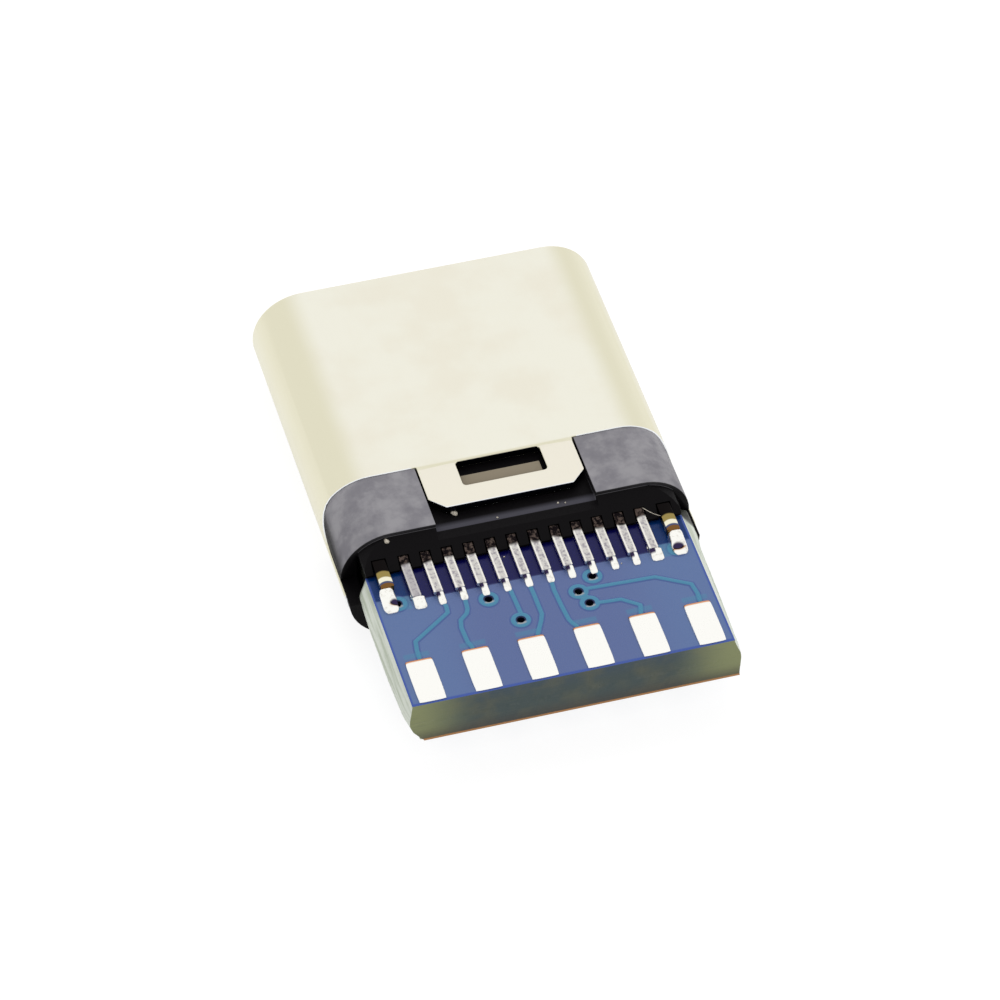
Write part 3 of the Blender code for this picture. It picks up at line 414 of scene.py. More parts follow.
# painted shade of the moulding, with flux specks, runs up the tails to a wavering edge
runs = add(tree, "TexNoise", {"Vector": place, "Scale": 1 / PITCH, "Detail": 1.0})
run = add(tree, "Math", {0: runs, 1: SHADE_AND_FLUX_WAVER, 2: y}, operation="MULTIPLY_ADD")
hood_shade_and_flux = add(tree, "MapRange", {0: run, 1: SHADE_AND_FLUX_START[0], 2: SHADE_AND_FLUX_START[1]}, **SOFT_ENDS)
flux = add(tree, "Mix", {0: specks, 6: linear(SHADE_AND_FLUX_DARK), 7: linear(SHADE_AND_FLUX_BROWN)}, **OF_COLOURS)
gilt = add(tree, "MapRange", {0: y, 1: GOLD_START, 2: GOLD_START + GOLD_FADE})
colour = linear(TIN)
for amount, tone in ((middle, linear(TIN_DULL)), (speckle, linear(TIN_SPECK)),
                     (first, linear(TIN_SPECK)), (hood_shade_and_flux, flux), (gilt, linear(GOLD))):
    colour = add(tree, "Mix", {0: amount, 6: colour, 7: tone}, **OF_COLOURS)
roughness = add(tree, "MapRange", {0: grain, 1: 0.3, 2: 0.7, 3: TIN_ROUGH[0], 4: TIN_ROUGH[1]})
finish_material(tree, {"Base Color": colour, "Metallic": 1.0, "Roughness": roughness}, grain, TIN_RELIEF)
for node in sorted(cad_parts):
    if node[:13] in ("upper_contact", "lower_contact") and node[-1].isdigit():
        fit(dressed(node, CONTACT_EDGE), strip, "gilt_contact", node)


# Latch plate and ground springs: blanked from hard stainless strip, with a bright rolled face. The
# plate stands in the housing's side slots, and its two legs are soldered down to the board.
STEEL = "#DAD7CE"
STEEL_HOOD_SHADE = "#151212"
STEEL_STRAW = "#9A8850"
STEEL_BEND_HIGHLIGHT = "#F4F0D8"
STEEL_BEND_SHADE = "#4A5578"
STEEL_BROWN = "#7A5730"
LEG_STAINS_AND_LIGHT = ((-2.49, -2.54), (-2.68, -2.72), (-2.82, -2.85), (-2.87, -2.91))
LEG_MIDDLE = 3.33 * MM
LEG_ARCH = 2600.0
LEG_START = -2.0 * MM
STEEL_ROUGH = (0.18, 0.34)
STEEL_RELIEF = 0.001 * MM
ROLLING = (0.6 * MM, 0.02 * MM, 0.02 * MM)
STEEL_EDGE = 0.015 * MM

# rolled steel: fine lines across. Each leg is painted dark with the hood's shade, then in bands that
# arch by the square of the distance from the leg's middle: a straw stain, a painted highlight on its
# bend, a painted blue shade below it, and a brown stain. The stains follow the heat and flux of its
# soldering
steel, tree = blank_material("rolled_spring_steel")
place = add(tree, "TexCoord", out="Object")
stretched = add(tree, "Mapping", {"Vector": place, "Scale": [1 / size for size in ROLLING]})
rolled = add(tree, "TexNoise", {"Vector": stretched, "Scale": 1.0, "Detail": 3.0})
x, y = (add(tree, "SeparateXYZ", {0: place}, out=axis) for axis in "XY")
sideways = add(tree, "Math", {0: x}, operation="ABSOLUTE")
off = add(tree, "Math", {0: sideways, 1: LEG_MIDDLE}, operation="SUBTRACT")
bow = add(tree, "Math", {0: off, 1: off}, operation="MULTIPLY")
arched = add(tree, "Math", {0: bow, 1: LEG_ARCH, 2: y}, operation="MULTIPLY_ADD")
colour = linear(STEEL_HOOD_SHADE)
# dark with the hood's painted shade, then the bands, with a painted highlight and a painted shade on the
# bend
for (before, after), tone in zip(LEG_STAINS_AND_LIGHT, (STEEL_STRAW, STEEL_BEND_HIGHLIGHT, STEEL_BEND_SHADE, STEEL_BROWN)):
    reached = add(tree, "MapRange", {0: arched, 1: before * MM, 2: after * MM}, **SOFT_ENDS)
    colour = add(tree, "Mix", {0: reached, 6: colour, 7: linear(tone)}, **OF_COLOURS)
inside = add(tree, "MapRange", {0: y, 1: LEG_START, 2: LEG_START + 0.1 * MM})
colour = add(tree, "Mix", {0: inside, 6: colour, 7: linear(STEEL)}, **OF_COLOURS)
roughness = add(tree, "MapRange", {0: rolled, 1: 0.3, 2: 0.7, 3: STEEL_ROUGH[0], 4: STEEL_ROUGH[1]})
finish_material(tree, {"Base Color": colour, "Metallic": 1.0, "Roughness": roughness},
                rolled, STEEL_RELIEF)
for node in ("latch_plate", "upper_ground_spring", "lower_ground_spring"):
    fit(dressed(node, STEEL_EDGE), steel, "spring_steel", node)


# Contact holders: two black mouldings, one over the other, that carry the contacts to the board.
# They close up to the shell's rear edge, and a hood on the upper one covers the roots of the tails.
HOLDER_EDGE = 0.012 * MM
SHOULDER, SHOULDER_GAP = 0.06, 0.018
BORE_FLAT, BORE_MIDDLE, BORE_RADIUS = 2.925, 1.2, 1.05
BOSS_HALF, BOSS_FRONT, BOSS_AHEAD = 1.0, -0.47, 0.14
PLANE_REACH = 0.012


def close_up(points):
    """Moves the shoulder outside the shell's bore forward, to close the seam, and the bosses' fronts.
    The bore is a flat-sided oval: its outside lies further than the radius from its middle line."""
    x, y, z = points.T
    outside = np.hypot(np.maximum(abs(x) - BORE_FLAT, 0), z - BORE_MIDDLE) > BORE_RADIUS
    seam = outside & (abs(y - SHOULDER) < PLANE_REACH)
    boss = (abs(x) < BOSS_HALF) & (abs(y - BOSS_FRONT) < PLANE_REACH)
    points[seam, 1] += SHOULDER_GAP
    points[boss, 1] += BOSS_AHEAD


for node in ("upper_contact_holder", "lower_contact_holder"):
    fit(reworked(dressed(node, HOLDER_EDGE), close_up), moulding, "black_moulding", node)


# Circuit board: glass and epoxy laminate about 1.2 mm thick, blue solder mask over copper on both
# faces. The long sides were scored and snapped, which leaves a ridge, and the rear edge was sawn.
BOARD_HALF_WIDTH = 3.69
BOARD_REAR, BOARD_FRONT, BOARD_HIDDEN = -6.46, -1.14, -2.10
BOARD_TOP, BOARD_BOTTOM = 1.78, 0.62
COLUMNS = 256
GRID = 2 * BOARD_HALF_WIDTH / COLUMNS
HIDDEN_ROWS = 6
NECK, NECK_END = 3.58, -2.41
RIDGE_LEFT = ((-6.46, 0.06), (-6.1, 0.13), (-5.0, 0.17), (-3.4, 0.17), (-2.41, 0.14))
RIDGE_RIGHT = ((-6.46, 0.16), (-6.1, 0.20), (-4.4, 0.25), (-3.1, 0.27), (-2.7, 0.32), (-1.9, 0.32))
RIDGE_LEVELS, RIDGE_SHARES = (0.66, 1.14, 1.30, 1.74), (0.0, 1.0, 1.0, 0.0)
RIDGE_CORE = 0.8
LEDGE, LEDGE_END = 1.195, -2.62
LEAN_LEFT, LEAN_RIGHT = 0.12, 0.15
LEAN_TOP, LEAN_HEIGHT = 1.14, 0.52
WORN_CORNER, WORN_ALONG = 0.14, (6.15, 6.46)
WORN_TOP, WORN_HEIGHT = 0.95, 0.33
SIDE_REACH = (2.85, 3.69)
WALL_LEVELS = (1.74, 1.62, 1.48, 1.36, 1.27, 1.20, 1.19, 1.13, 1.04, 0.94, 0.87, 0.80, 0.73, 0.66)
WALL_ROUGH = 0.010
WALL_SEED = 7
VIA_CELLS, VIA_REACH = 3, 7
VIA_DEPTH = 0.30
VIA_CROWDING = 2.6
GLINT_RADIUS, GLINT_TURN = 0.135, (0.35, 0.80)
MASK_RISE = 0.014
TRACE_HALF = 0.036
RING_HALF = 0.212
SHOULDER_RUN = 0.035
BOARD_SHADE_EDGE = (-3.335, -3.375)
BOARD_SHADE_EDGE_SIDE = (-3.16, -3.22)
SIDE_FIELD = (2.87, 2.91)
FAR = 9.0
VIAS = ((-1.21, -3.79), (-0.69, -4.59), (1.22, -3.73), (0.79, -4.09), (0.93, -4.51),
        (-3.19, -3.38), (3.30, -3.40))
TOP_TRACES = (
    ((-2.21, -3.62), (-2.175, -3.718), (-2.193, -3.927), (-3.112, -4.589), (-3.153, -4.867),
     (-3.16, -5.1)),
    ((-1.71, -3.60), (-1.74, -3.934), (-1.792, -4.065), (-1.979, -4.232), (-2.026, -4.46),
     (-2.008, -4.90), (-1.95, -5.1)),
    ((-0.71, -3.60), (-0.666, -3.645), (-0.637, -4.411), (-0.69, -4.59)),
    ((-0.21, -3.60), (-0.2, -3.876), (-0.195, -4.535), (-0.27, -4.733), (-0.397, -4.989),
     (-0.45, -5.1)),
    ((0.29, -3.60), (0.268, -3.909), (0.295, -4.431), (0.331, -4.855), (0.379, -4.989), (0.45, -5.1)),
    ((0.79, -4.09), (1.011, -4.058), (2.551, -4.122), (3.269, -4.55), (3.313, -4.874), (3.30, -5.1)),
    ((0.93, -4.51), (1.142, -4.543), (1.626, -4.58), (1.987, -4.861), (1.938, -5.07), (1.92, -5.1)),
)
BOTTOM_TRACES = (
    ((-2.25, -3.60), (-2.25, -3.95), (-3.20, -4.75), (-3.20, -5.1)),
    ((-1.25, -3.60), (-1.21, -3.79)),
    ((-0.69, -4.59), (-0.64, -5.1)),
    ((0.79, -4.09), (0.64, -4.40), (0.64, -5.1)),
    ((1.22, -3.73), (1.92, -4.40), (1.92, -5.1)),
    ((2.25, -3.60), (2.25, -4.20), (3.20, -4.85), (3.20, -5.1)),
)
PAD_MIDDLES = tuple(1.28 * (n - 2.5) for n in range(6))
FRINGE_HALF, FRINGE_FADE = 0.33, 0.06
FRINGE_MIDDLE, FRINGE_REACH = -4.99, (0.11, 0.05)
LEG_FRINGE_HALF, LEG_FRINGE_ALONG = 3.28, (-3.60, -3.20)
FRINGE_SHARE = 0.7


def to_path(x, y, path):
    """Distance of each point from a bent line: the least over its pieces of the distance to the foot
    of the perpendicular, with the foot held between the piece's ends."""
    start, end = np.array(path[:-1]), np.array(path[1:])
    run = end - start
    px, py = x[..., None] - start[:, 0], y[..., None] - start[:, 1]
    t = np.clip((px * run[:, 0] + py * run[:, 1]) / (run ** 2).sum(1), 0, 1)
    return np.hypot(px - t * run[:, 0], py - t * run[:, 1]).min(-1)


def soft_step(value, low, high):
    """0 at low and 1 at high, with a soft cubic between."""
    t = np.clip((value - low) / (high - low), 0, 1)
    return t * t * (3 - 2 * t)


def grid_faces(rows, columns, wrap=False):
    """Corner numbers of the cells of a grid whose points are counted row by row. With wrap, the last
    column joins the first."""
    i, j = np.meshgrid(np.arange(rows - 1), np.arange(columns if wrap else columns - 1), indexing="ij")
    k = (j + 1) % columns
    corners = [i * columns + j, i * columns + k, (i + 1) * columns + k, (i + 1) * columns + j]
    return np.stack(corners, -1).reshape(-1, 4)


def edge_of(rows, columns):
    """Numbers of the points round the edge of a grid, in turn."""
    index = np.arange(rows * columns).reshape(rows, columns)
    return np.concatenate([index[0, :], index[1:, -1], index[-1, -2::-1], index[-2:0:-1, 0]])


def make_piece(name, points, faces, caps=(), **values):
    """Object of these points, in mm, and faces, with a float attribute on the points for each value."""
    mesh = bpy.data.meshes.new(name)
    mesh.from_pydata((np.asarray(points).reshape(-1, 3) * MM).tolist(), [],
                     np.asarray(faces).tolist() + [list(cap) for cap in caps])
    for key, value in values.items():
        layer = mesh.attributes.new(key, "FLOAT", "POINT")
        layer.data.foreach_set("value", np.asarray(value, np.float32).ravel())
    work = bmesh.new()
    work.from_mesh(mesh)
    bmesh.ops.remove_doubles(work, verts=work.verts, dist=MERGE)
    bmesh.ops.recalc_face_normals(work, faces=work.faces)
    work.to_mesh(mesh)
    work.free()
    mesh.shade_smooth()
    mesh.set_sharp_from_angle(angle=SOFT_ANGLE)
    return link(name, mesh)


def board_face(x, y, traces):
    """Places and rise of the mask's points over one face, and the distances that colour it. The mask
    stands up over each trace and ring, and drops into each via, whose rear lip catches the light as a
    glint. The grid's squares round a via are drawn in to circles, the less so the further out."""
    track = np.min([to_path(x, y, trace) for trace in traces], axis=0)
    barrel, glint = np.full(x.shape, FAR), np.zeros(x.shape)
    new_x, new_y, pit = x.copy(), y.copy(), np.zeros(x.shape)
    radius = VIA_CELLS * GRID
    for via_x, via_y in VIAS:
        dx = x + BOARD_HALF_WIDTH - GRID * round((via_x + BOARD_HALF_WIDTH) / GRID)
        dy = y - BOARD_REAR - GRID * round((via_y - BOARD_REAR) / GRID)
        square, far = np.maximum(abs(dx), abs(dy)), np.maximum(np.hypot(dx, dy), 1e-9)
        inside = radius * (1 - (1 - np.clip(square / radius, 0, 1)) ** VIA_CROWDING)
        ring = np.where(square < radius, inside, square)
        pull = np.clip((VIA_REACH * GRID - square) / ((VIA_REACH - VIA_CELLS) * GRID), 0, 1)
        scale = 1 + (ring / far - 1) * pull
        new_x += dx * (scale - 1)
        new_y += dy * (scale - 1)
        barrel = np.minimum(barrel, far * scale)
        glint = np.maximum(glint, (far * scale < GLINT_RADIUS) * soft_step(-dy / far, *GLINT_TURN))
        pit = np.maximum(pit, VIA_DEPTH * np.clip((radius - square) / (2 * GRID), 0, 1))
    rise = MASK_RISE * np.maximum(1 - soft_step(track, TRACE_HALF, TRACE_HALF + SHOULDER_RUN),
                                  1 - soft_step(barrel, RING_HALF, RING_HALF + SHOULDER_RUN))
    return new_x, new_y, np.where(pit > 0, -pit, rise), track, barrel, glint


def leaned(x, y, z):
    """Place across of a point near a snapped side: below the ridge the left side draws in and the right
    one stands out, more towards the foot, and the corner at the left rear is worn off."""
    low = np.clip((LEAN_TOP - z) / LEAN_HEIGHT, 0, 1) * (y < LEDGE_END)
    worn = WORN_CORNER * soft_step(-y, *WORN_ALONG) * np.clip((WORN_TOP - z) / WORN_HEIGHT, 0, 1)
    return (x + (LEAN_LEFT * low + worn) * soft_step(-x, *SIDE_REACH)
            + LEAN_RIGHT * low * soft_step(x, *SIDE_REACH))


# the board's two faces: an even grid where they show, and a few wide rows under the hood
fine_rows = round((BOARD_HIDDEN - BOARD_REAR) / GRID)
grid_x = np.linspace(-BOARD_HALF_WIDTH, BOARD_HALF_WIDTH, COLUMNS + 1)
grid_y = np.concatenate([BOARD_REAR + GRID * np.arange(fine_rows),
                         np.linspace(BOARD_REAR + GRID * fine_rows, BOARD_FRONT, HIDDEN_ROWS)])
flat_x, flat_y = np.meshgrid(grid_x, grid_y)
flat_x = flat_x * np.where(flat_y > NECK_END, NECK / BOARD_HALF_WIDTH, 1)
rows, columns = flat_x.shape
beside = soft_step(abs(flat_x), *SIDE_FIELD)
# painted navy shade by the hood: the mask is clear of it rearward of this edge, which lies nearer the
# hood beside the legs
pour = soft_step(flat_y, *BOARD_SHADE_EDGE) * (1 - beside) + soft_step(flat_y, *BOARD_SHADE_EDGE_SIDE) * beside
faces, points, tracks, barrels, glints = [], [], [], [], []
for traces, height, turn in ((TOP_TRACES, BOARD_TOP, 1), (BOTTOM_TRACES, BOARD_BOTTOM, -1)):
    face_x, face_y, rise, track, barrel, glint = board_face(flat_x, flat_y, traces)
    if turn < 0:
        face_x = leaned(face_x, face_y, BOARD_BOTTOM)
    faces.append(grid_faces(rows, columns) + len(faces) * rows * columns)
    points.append(np.stack([face_x, face_y, height + turn * rise], -1).reshape(-1, 3))
    tracks.append(track.ravel())
    barrels.append(barrel.ravel())
    glints.append(glint.ravel())
from_pad = np.min([abs(flat_x - middle) for middle in PAD_MIDDLES], axis=0)
above_pads = soft_step(-from_pad, -FRINGE_HALF, -FRINGE_HALF + FRINGE_FADE) * soft_step(
    -abs(flat_y - FRINGE_MIDDLE), -FRINGE_REACH[0], -FRINGE_REACH[1])
by_legs = ((beside > 0.5) & (abs(flat_x) < LEG_FRINGE_HALF)
           & (flat_y > LEG_FRINGE_ALONG[0]) & (flat_y < LEG_FRINGE_ALONG[1]))
fringe = FRINGE_SHARE * (above_pads + by_legs)
margin = BOARD_HALF_WIDTH - abs(flat_x).ravel()

# the board's edge, from the top face's rim down to the bottom one's: it juts out to the ridge
rim = edge_of(rows, columns)
levels = np.array(WALL_LEVELS)[:, None]
jut = np.interp(levels, RIDGE_LEVELS, RIDGE_SHARES)
rim_x, rim_y = flat_x.ravel()[rim], flat_y.ravel()[rim]
width = np.where(rim_y > NECK_END, NECK, BOARD_HALF_WIDTH)
side = np.sign(rim_x) * (abs(rim_x) > width - 1e-6)
left, right_side = (np.interp(rim_y, *zip(*course)) for course in (RIDGE_LEFT, RIDGE_RIGHT))
ridge = np.where(side < 0, left, right_side)
ridge_front = RIDGE_RIGHT[-1][0]
ahead = np.where(jut > RIDGE_CORE, rim_y < ridge_front, soft_step(-rim_y, -ridge_front, -NECK_END))
clear = (rim_y < LEDGE_END) | (levels > LEDGE)
clear = clear * np.where(rim_y < NECK_END, 1.0, (side > 0) * ahead)
ridge = side * clear * (BOARD_HALF_WIDTH - width + ridge * jut)
rough = np.random.default_rng(WALL_SEED).uniform(-1, 1, (len(levels), len(rim)))
rough = WALL_ROUGH * abs(rough + np.roll(rough, 1, 1) + np.roll(rough, 2, 1)) / 3
wall = np.stack([leaned(rim_x, rim_y, levels) + ridge - rough * side,
                 rim_y + rough * (rim_y < BOARD_REAR + 1e-6),
                 np.broadcast_to(levels, rough.shape)], -1)
numbers = np.concatenate([rim[None], 2 * rows * columns + np.arange(rough.size).reshape(rough.shape),
                          rim[None] + rows * columns])
faces.append(numbers.ravel()[grid_faces(len(numbers), len(rim), wrap=True)])
points.append(wall.reshape(-1, 3))
on_wall = np.zeros(rough.size)
board = make_piece("board_finished", np.concatenate(points), np.concatenate(faces),
                   track=np.concatenate([*tracks, on_wall + FAR]),
                   barrel=np.concatenate([*barrels, on_wall + FAR]),
                   glint=np.concatenate([*glints, on_wall]),
                   pour=np.concatenate([pour.ravel(), pour.ravel(), on_wall]),
                   tinge=np.concatenate([fringe.ravel(), 0 * fringe.ravel(), on_wall]),
                   margin=np.concatenate([margin, margin, on_wall]))

MASK_POUR = "#5E74A2"
MASK_POUR_MIDDLE = "#5C6C9B"
MASK_SHADE_NAVY = "#0A0A50"
MASK_SHADE_SIDE = "#002E6A"
MASK_TRACE = "#4A87A7"
MASK_SHADE = "#4A5F96"
MASK_LIP_SHADE = "#1C2450"
MASK_GLINT = "#9AA2A8"
MASK_EDGE = "#4058A2"
MASK_HOLE_SHADE = "#0A0D20"
MASK_GLOSS = 0.22
MASK_ROUGH = (0.20, 0.32)
MASK_RELIEF = 0.003 * MM
MASK_PEEL = 0.22 * MM
SIDE_FADE = (2.84 * MM, 2.94 * MM)
MIDDLE_FADE = (3.0 * MM, 1.2 * MM)

# solder mask: glossy blue resin, pale over the copper, teal over traces, and painted with a navy shade
# by the hood, between the tails and beside the legs. Each coat gives what it follows, where it starts
# and where it is full, and its colour. A faint orange peel, as wide as a contact's foot, breaks the
# gloss
mask, tree = blank_material("blue_solder_mask")
place = add(tree, "TexCoord", out="Object")
x, y = (add(tree, "SeparateXYZ", {0: place}, out=axis) for axis in "XY")
track, barrel, pour, tinge, margin, glint = (
    add(tree, "Attribute", out="Fac", attribute_name=name)
    for name in ("track", "barrel", "pour", "tinge", "margin", "glint"))
peel = add(tree, "TexNoise", {"Vector": place, "Scale": 1 / MASK_PEEL, "Detail": 3.0})
sideways = add(tree, "Math", {0: x}, operation="ABSOLUTE")
beside = add(tree, "MapRange", {0: sideways, 1: SIDE_FADE[0], 2: SIDE_FADE[1]})
central = add(tree, "MapRange", {0: sideways, 1: MIDDLE_FADE[0], 2: MIDDLE_FADE[1]}, **SOFT_ENDS)
# the painted navy shade, bluer beside the legs
bare = add(tree, "Mix", {0: beside, 6: linear(MASK_SHADE_NAVY), 7: linear(MASK_SHADE_SIDE)}, **OF_COLOURS)
copper = add(tree, "Mix", {0: central, 6: linear(MASK_POUR), 7: linear(MASK_POUR_MIDDLE)}, **OF_COLOURS)
colour = add(tree, "Mix", {0: pour, 6: bare, 7: copper}, **OF_COLOURS)
# among the coats: a painted shade round traces and rings, a painted dark lip and hole in each via, and a
# painted glint on its rear lip
for value, start, full, tone in (
        (margin, 0.07, 0.02, MASK_EDGE), (y, -6.36 * MM, -6.41 * MM, MASK_EDGE),
        (track, 0.100, 0.068, MASK_SHADE), (barrel, 0.276, 0.246, MASK_SHADE),
        (tinge, 0.0, 1.5, MASK_TRACE), (track, 0.060, 0.038, MASK_TRACE),
        (barrel, 0.238, 0.212, MASK_TRACE), (barrel, 0.128, 0.114, MASK_LIP_SHADE),
        (glint, 0.0, 1.0, MASK_GLINT), (barrel, 0.098, 0.087, MASK_HOLE_SHADE)):
    amount = add(tree, "MapRange", {0: value, 1: start, 2: full}, **SOFT_ENDS)
    colour = add(tree, "Mix", {0: amount, 6: colour, 7: linear(tone)}, **OF_COLOURS)
roughness = add(tree, "MapRange", {0: peel, 1: 0.3, 2: 0.7, 3: MASK_ROUGH[0], 4: MASK_ROUGH[1]})
finish_material(tree, {"Base Color": colour, "IOR": 1.5, "Specular IOR Level": MASK_GLOSS,
                       "Roughness": roughness}, peel, MASK_RELIEF)

LAMINATE_SIDE = "#DCE2D6"
LAMINATE_TORN = "#BAC3B0"
LAMINATE_PALE = "#82885A"
LAMINATE_DEEP = "#2A3D3D"
LAMINATE_TEAL = "#233B46"
LAMINATE_FIBRE = "#475145"
LAMINATE_BLOTCH = "#454B3D"
LAMINATE_BROWN = "#2E2418"
LAMINATE_HOOD_SHADE = "#23261C"
LAMINATE_FOOT = "#B07A42"
FIBRE = (0.8 * MM, 0.8 * MM, 0.045 * MM)
LAMINATE_RELIEF = 0.006 * MM
TEAR = 0.10 * MM
BLOTCH = 0.55 * MM
LAMINATE_SHADE_FROM = (-2.50 * MM, -2.38 * MM)

# laminate: translucent green epoxy over glass cloth, so its corners glow and its middle stays dark. The
# snapped sides are pale torn fibre, and a brown line of the lower copper shows along the foot. Where the
# board runs in under the hood it is painted dark with shade
laminate, tree = blank_material("glass_epoxy_laminate")
place = add(tree, "TexCoord", out="Object")
x, y, z = (add(tree, "SeparateXYZ", {0: place}, out=axis) for axis in "XYZ")
blotches = add(tree, "TexNoise", {"Vector": place, "Scale": 1 / BLOTCH, "Detail": 2.0})
stretched = add(tree, "Mapping", {"Vector": place, "Scale": [1 / size for size in FIBRE]})
fibres = add(tree, "TexNoise", {"Vector": stretched, "Scale": 1.0, "Detail": 5.0, "Roughness": 0.6})
sideways = add(tree, "Math", {0: x}, operation="ABSOLUTE")
colour = linear(LAMINATE_DEEP)
for value, start, full, tone in (
        (z, 1.35 * MM, 1.70 * MM, LAMINATE_TEAL), (blotches, 0.38, 0.74, LAMINATE_BLOTCH),
        (sideways, 2.1 * MM, 3.7 * MM, LAMINATE_PALE), (fibres, 0.52, 0.95, LAMINATE_FIBRE),
        (z, 1.10 * MM, 0.45 * MM, LAMINATE_BROWN), (z, 0.690 * MM, 0.660 * MM, LAMINATE_FOOT)):
    amount = add(tree, "MapRange", {0: value, 1: start, 2: full}, **SOFT_ENDS)
    colour = add(tree, "Mix", {0: amount, 6: colour, 7: linear(tone)}, **OF_COLOURS)
tears = add(tree, "TexNoise", {"Vector": stretched, "Scale": FIBRE[2] / TEAR, "Detail": 4.0})
torn = add(tree, "MapRange", {0: tears, 1: 0.42, 2: 0.66}, **SOFT_ENDS)
scored = add(tree, "MapRange", {0: z, 1: 1.02 * MM, 2: 0.86 * MM}, **SOFT_ENDS)
torn = add(tree, "Math", {0: torn, 1: scored}, operation="MAXIMUM")
snapped = add(tree, "Mix", {0: torn, 6: linear(LAMINATE_SIDE), 7: linear(LAMINATE_TORN)}, **OF_COLOURS)
turned = add(tree, "SeparateXYZ", {0: add(tree, "NewGeometry", out="Normal")}, out="X")
turned = add(tree, "Math", {0: turned}, operation="ABSOLUTE")
at_side = add(tree, "MapRange", {0: turned, 1: 0.3, 2: 0.7}, **SOFT_ENDS)
# painted dark with shade where the board runs in under the hood
hood_shade = add(tree, "MapRange", {0: y, 1: LAMINATE_SHADE_FROM[0], 2: LAMINATE_SHADE_FROM[1]})
for amount, tone in ((at_side, snapped), (hood_shade, linear(LAMINATE_HOOD_SHADE))):
    colour = add(tree, "Mix", {0: amount, 6: colour, 7: tone}, **OF_COLOURS)
finish_material(tree, {"Base Color": colour, "IOR": 1.55, "Roughness": 0.5}, fibres, LAMINATE_RELIEF)
fit(board, mask, "solder_mask", "circuit_board")
board.data.materials.append(laminate)
kinds = np.arange(len(board.data.polygons)) >= 2 * (rows - 1) * (columns - 1)
board.data.polygons.foreach_set("material_index", kinds.astype(np.int32))


# Solder: lead-free, reflowed by a hand iron. A thin bed lies under each foot and climbs its end as
# a rounded tip, and a bead with a blow hole buries the end of each latch leg.
FOOT_START, TIP_END = -2.44, -3.66
FOOT_UNDER = 0.042
TIP_RISE = 0.135
TIP_SHIFT, TIP_SHIFT_ALONG = 0.04, (-3.28, -3.40)
TIP_HALF, TIP_HALF_OUTER, TIP_FLARE = 0.090, 0.145, (-3.15, -3.3)
DOME_POWER = 0.45
FIRST_FOOT, FOOT_PITCH = -2.75, 0.5
BED_STATIONS = (FOOT_START, -2.50, -2.8, -3.1, -3.26, -3.33, -3.38, -3.44, -3.50, -3.56, -3.61, -3.645,
                TIP_END)
BED_RISE = ((TIP_END, 0.010), (-3.645, 0.040), (-3.61, 0.062), (-3.56, 0.078), (-3.44, 0.105),
            (-3.37, TIP_RISE), (-3.33, 0.115), (-3.26, FOOT_UNDER), (FOOT_START, FOOT_UNDER))
BED_WIDTH = ((TIP_END, 0.60), (-3.645, 0.85), (-3.61, 0.96), (-3.56, 1.0))
BED_ARC = 17
SHADE_NOTCH = (slice(5, 8), slice(9, 15))
BEAD_MIDDLE, BEAD_HALF_LONG = -3.285, 0.345
BEAD_RISE, BEAD_TURN = 0.26, 0.68
BEAD_SQUARENESS, BEAD_CORNER = (4, 6), 0.24
BEAD_CELLS = (56, 96)
BEADS = (("left", -3.365, 0.19, -3.225, -3.375), ("right", 3.345, 0.185, 3.31, -3.41))
BLOW_HOLE, BLOW_DEPTH = (0.135, 0.095), 0.7
SOLDER_BRIGHT = "#FBFAF4"
SOLDER_FROST = "#DEDBD2"
SOLDER_PAINTED_SHADE = "#352C4C"
FLUX_SCORCH = "#B27A40"
SOLDER_ROUGH = (0.12, 0.30)
SOLDER_RELIEF = 0.004 * MM
FROST_GRAIN = 0.09 * MM

# solder: white metal with a thin frost, painted shade in the blow holes and in a notch at each foot's
# end, and burnt flux round the blow holes
solder, tree = blank_material("bright_tin_solder")
place = add(tree, "TexCoord", out="Object")
frost = add(tree, "TexNoise", {"Vector": place, "Scale": 1 / FROST_GRAIN, "Detail": 4.0})
char, scorch = (add(tree, "Attribute", out="Fac", attribute_name=name) for name in ("char", "scorch"))
frosted = add(tree, "MapRange", {0: frost, 1: 0.5, 2: 0.75}, **SOFT_ENDS)
colour = linear(SOLDER_BRIGHT)
for amount, tone in ((frosted, SOLDER_FROST), (char, SOLDER_PAINTED_SHADE), (scorch, FLUX_SCORCH)):
    colour = add(tree, "Mix", {0: amount, 6: colour, 7: linear(tone)}, **OF_COLOURS)
roughness = add(tree, "MapRange", {0: frost, 1: 0.3, 2: 0.7, 3: SOLDER_ROUGH[0], 4: SOLDER_ROUGH[1]})
finish_material(tree, {"Base Color": colour, "Metallic": 1.0, "Roughness": roughness},
                frost, SOLDER_RELIEF)


def solder_bed(x, side, half):
    """Points of a bed and tip: along it, width and rise follow curves of the distance; across, each
    section is a dome whose rise is the sine of its angle to a power, over a flat base."""
    y = np.array(BED_STATIONS)
    rise = np.interp(y, *zip(*BED_RISE))
    wide = TIP_HALF + (half - TIP_HALF) * soft_step(y, *TIP_FLARE)
    wide = wide * np.interp(y, *zip(*BED_WIDTH))
    angle = np.linspace(0, np.pi, BED_ARC)
    shift = TIP_SHIFT * soft_step(y, *TIP_SHIFT_ALONG)
    px = x + shift[:, None] + wide[:, None] * np.cos(angle)
    pz = np.clip(np.sin(angle), 0, 1) ** DOME_POWER * rise[:, None]
    pz[:, [0, -1]] = 0
    surface = BOARD_TOP + pz if side > 0 else BOARD_BOTTOM - pz
    return np.stack([px, np.broadcast_to(y[:, None], px.shape), surface], -1)


